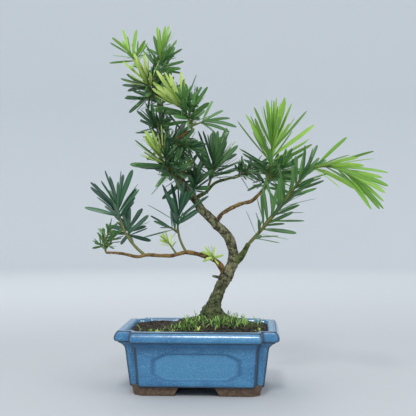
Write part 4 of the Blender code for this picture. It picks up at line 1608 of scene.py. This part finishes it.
@dataclass(frozen=True)
class GlazeFinish:
    """Blue glaze: speckled, paler in the panel, dark brown where it runs thin over an edge, and darker blue
    as painted shade round the panels and under the band.
    """

    name: str = "blue_glaze"
    deep: tuple = (0.030, 0.150, 0.33)
    light: tuple = (0.065, 0.245, 0.44)
    panel: tuple = (0.075, 0.27, 0.47)
    speck: tuple = (0.17, 0.40, 0.58)
    pit: tuple = (0.02, 0.08, 0.2)
    # colour of the painted shade round the panels and under the band
    pooled: tuple = (0.012, 0.065, 0.19)
    edge: tuple = (0.014, 0.013, 0.016)

    def material(self) -> bpy.types.Material:
        """The glaze's material.

        Returns:
            The material.
        """
        sheet = Sheet(self.name)
        clouds = sheet.mottle(Scale=45.0, Low=0.3, High=0.7, Fine_Scale=700.0)
        specks = sheet.mottle(Scale=520.0, Low=0.5, High=0.68, Fine_Scale=90.0)
        pits = sheet.mottle(Scale=760.0, Low=0.56, High=0.7, Fine_Scale=300.0)
        thin = sheet.math("MULTIPLY", sheet.attribute("thin"), 0.95)
        colour = sheet.blend(clouds.outputs["Mask"], self.deep, self.light)
        for share, second, strength in (
                (sheet.attribute("panel"), self.panel, 0.75), (specks.outputs["Mask"], self.speck, 0.45),
                # painted shade darkens the panels' edges and the hollow under the band
                (pits.outputs["Mask"], self.pit, 0.5), (sheet.attribute("pooled"), self.pooled, 0.7),
                (thin, self.edge, 1.0)):
            colour = sheet.blend(share, colour, second, strength)
        rough = sheet.node("ShaderNodeMapRange", Value=clouds.outputs["Fine"], To_Min=0.14, To_Max=0.3)
        sheet.bump(specks.outputs["Fine"], 0.0008, 0.35)
        dulled = sheet.math("ADD", rough.outputs["Result"], sheet.math("MULTIPLY", thin, 0.45))
        return sheet.finish(colour, dulled, Coat_Weight=0.25, Coat_Roughness=0.1)


@dataclass(frozen=True)
class EarthFinish:
    """Matt grainy stuff: clay, soil, twigs or cut wood, by its colours and grain."""

    name: str
    first: tuple
    second: tuple
    scale: float
    relief: float
    roughness: float = 0.95

    def material(self) -> bpy.types.Material:
        """The matt material.

        Returns:
            The material.
        """
        sheet = Sheet(self.name)
        grain = sheet.mottle(Scale=self.scale, Low=0.35, High=0.65, Fine_Scale=self.scale * 6)
        colour = sheet.blend(grain.outputs["Mask"], self.first, self.second)
        sheet.bump(grain.outputs["Fine"], self.relief, 0.8)
        return sheet.finish(colour, self.roughness)


@dataclass(frozen=True)
class PaperFinish:
    """The studio's paper: painted shade makes it darker near the object, where more light falls, than far
    off.

    near and far: where the blend from floor to wall starts and ends, in metres.
    """

    name: str = "studio_paper"
    # painted shade: the floor's colour, darker to offset the stronger light near the object
    floor: tuple = (0.45, 0.475, 0.505)
    wall: tuple = (0.66, 0.70, 0.735)
    near: float = 0.5
    far: float = 1.9

    def material(self) -> bpy.types.Material:
        """The paper's material, blended by the distance from the middle of the floor.

        Returns:
            The material.
        """
        sheet = Sheet(self.name)
        place = sheet.node("ShaderNodeTexCoord")
        reach = sheet.node("ShaderNodeVectorMath", Vector=place.outputs["Object"])
        reach.operation = "LENGTH"
        span = sheet.node("ShaderNodeMapRange", Value=reach.outputs["Value"], From_Min=self.near,
                          From_Max=self.far)
        # painted shade: the floor blends from the darker colour near the object to the wall's paler one
        return sheet.finish(sheet.blend(span.outputs["Result"], self.floor, self.wall), 0.95)


FINISHES: dict[Tint | str, object] = {
    Tint.DARK: LeafFinish("dark_leaf", (0.010, 0.050, 0.020), (0.10, 0.26, 0.07), 0.34),
    Tint.TEAL: LeafFinish("teal_leaf", (0.016, 0.075, 0.048), (0.065, 0.22, 0.085), 0.36),
    Tint.MID: LeafFinish("green_leaf", (0.03, 0.12, 0.028), (0.14, 0.34, 0.07), 0.4),
    Tint.BRIGHT: LeafFinish("bright_leaf", (0.13, 0.34, 0.03), (0.33, 0.57, 0.07), 0.48),
    Tint.PALE: LeafFinish("pale_leaf", (0.34, 0.52, 0.08), (0.60, 0.74, 0.22), 0.5),
    "twig": EarthFinish("twig", (0.10, 0.15, 0.03), (0.20, 0.17, 0.05), 190.0, 0.0004, 0.7),
    "moss": LeafFinish("moss", (0.035, 0.07, 0.012), (0.12, 0.20, 0.03), 0.8),
    "grass": LeafFinish("grass", (0.08, 0.24, 0.025), (0.36, 0.56, 0.14), 0.6),
    "trunk": BarkFinish("trunk_bark", (0.028, 0.026, 0.014), (0.20, 0.195, 0.10), (0.46, 0.44, 0.27),
                        moss_level=0.150),
    "bough": BarkFinish("bough_bark", (0.07, 0.042, 0.014), (0.24, 0.145, 0.045), (0.42, 0.28, 0.11)),
    "green": BarkFinish("green_bark", (0.035, 0.05, 0.012), (0.11, 0.16, 0.04), (0.24, 0.25, 0.09)),
    "cut": EarthFinish("cut_wood", (0.30, 0.13, 0.04), (0.45, 0.22, 0.08), 500.0, 0.0003, 0.8),
    "soil": EarthFinish("soil", (0.006, 0.005, 0.004), (0.026, 0.020, 0.013), 260.0, 0.001),
    "grit": EarthFinish("grit", (0.012, 0.009, 0.006), (0.085, 0.066, 0.042), 150.0, 0.0008),
    "clay": EarthFinish("bare_clay", (0.085, 0.055, 0.035), (0.16, 0.105, 0.07), 240.0, 0.0006, 0.8),
    "glaze": GlazeFinish(),
    "paper": PaperFinish(),
}


@dataclass
class Studio:
    """Camera, lights and a round sweep of pale floor that curves up into its wall.

    Places are millimetres in the model's frame. floor_reach: radii of the flat floor's inner rings.
    lights: name, place, target, two sides, power in watts, and colour.
    """

    camera_place: tuple = (30.5, -1151.0, 231.0)
    camera_turn: float = 3.25
    camera_fall: float = 0.1
    lens: float = 77.9
    sensor: float = 36.0
    floor_reach: tuple = (1.0, 600.0, 1400.0)
    floor_radius: float = 2300.0
    curve: float = 700.0
    wall: float = 800.0
    room: tuple = (0.96, 0.98, 1.0)
    room_strength: float = 0.98
    lights: tuple = (
        ("key_light", (-100, -1300, 1500), (0, 0, 200), (300, 380), 13.0, (1.0, 0.99, 0.97)),
        ("fill_light", (1200, -1000, 900), (0, 0, 200), (900, 900), 5.0, (0.97, 0.99, 1.0)),
        ("back_light", (-500, 1300, 1300), (0, 0, 250), (1000, 800), 6.0, (1.0, 1.0, 1.0)))

    def build(self, paper: bpy.types.Material) -> None:
        """Everything that isn't part of the object.

        Args:
            paper: finish of the floor and the wall.
        """
        self.sweep(paper)
        self.camera()
        for light in self.lights:
            self.light(*light)
        world = bpy.data.worlds.new("soft_room")
        world.use_nodes = True
        background = world.node_tree.nodes["Background"]
        background.inputs["Color"].default_value = (*self.room, 1.0)
        background.inputs["Strength"].default_value = self.room_strength
        bpy.context.scene.world = world
        bpy.context.scene.view_settings.view_transform = "Standard"

    def sweep(self, paper: bpy.types.Material) -> None:
        """A surface of revolution: flat floor, a quarter circle, then the wall.

        Args:
            paper: its finish.
        """
        bend = np.radians(np.linspace(0, 90, 24))
        out = np.append(self.floor_reach, self.floor_radius + self.curve * np.sin(bend))
        up = np.append(np.zeros(len(self.floor_reach)), self.curve * (1 - np.cos(bend)))
        out, up = np.append(out, out[-1])[:, None], np.append(up, up[-1] + self.wall)[:, None]
        turn = np.linspace(0, 2 * math.pi, 96, endpoint=False)
        grid = np.stack([out * np.cos(turn), out * np.sin(turn), up + 0 * turn], axis=-1)
        faces = [grid_faces(*grid.shape[:2])]
        floor = make_piece("studio_sweep", grid.reshape(-1, 3) - POT_PLACE, faces, paper, "")

    def camera(self) -> None:
        """The camera at the photograph's place and angle."""
        data = bpy.data.cameras.new("camera")
        data.lens = self.lens
        data.sensor_width = self.sensor
        data.clip_end = 50.0
        turn = (math.radians(90 - self.camera_fall), 0.0, math.radians(self.camera_turn))
        bpy.context.scene.camera = self.put("camera", data, self.camera_place, turn)

    def light(self, name: str, place: tuple, target: tuple, size: tuple, power: float, colour: tuple) -> None:
        """A rectangular soft light that looks at a target.

        Args:
            name: its name.
            place: where it hangs.
            target: where it looks.
            size: its two sides.
            power: in watts.
            colour: its colour.
        """
        data = bpy.data.lights.new(name, "AREA")
        data.shape = "RECTANGLE"
        data.size, data.size_y = size[0] * MM, size[1] * MM
        data.energy = power
        data.color = colour
        x, y, z = (end - start for start, end in zip(place, target))
        self.put(name, data, place, (math.atan2(math.hypot(x, y), -z), 0.0, math.atan2(-x, y)))

    def put(self, name: str, data: bpy.types.ID, place: tuple, turn: tuple) -> bpy.types.Object:
        """A camera or a light put into the scene.

        Args:
            name: its name.
            data: what it is.
            place: where it stands.
            turn: its rotation, in radians.

        Returns:
            The new object.
        """
        obj = bpy.data.objects.new(name, data)
        obj.location = tuple(v * MM for v in place)
        obj.rotation_euler = turn
        bpy.context.scene.collection.objects.link(obj)
        return obj


def main() -> None:
    """Builds the studio, the pot and its ground, and the tree."""
    logging.basicConfig(level=logging.INFO, format="%(message)s")
    finishes = {key: finish.material() for key, finish in FINISHES.items()}
    Studio().build(finishes["paper"])
    pot = Pot()
    pot.build(finishes["glaze"])
    Feet(pot).build(finishes["clay"])
    Ground(pot).build(finishes)
    Bark().build(finishes)
    Plant().build(finishes)


if __name__ == "__main__":
    main()
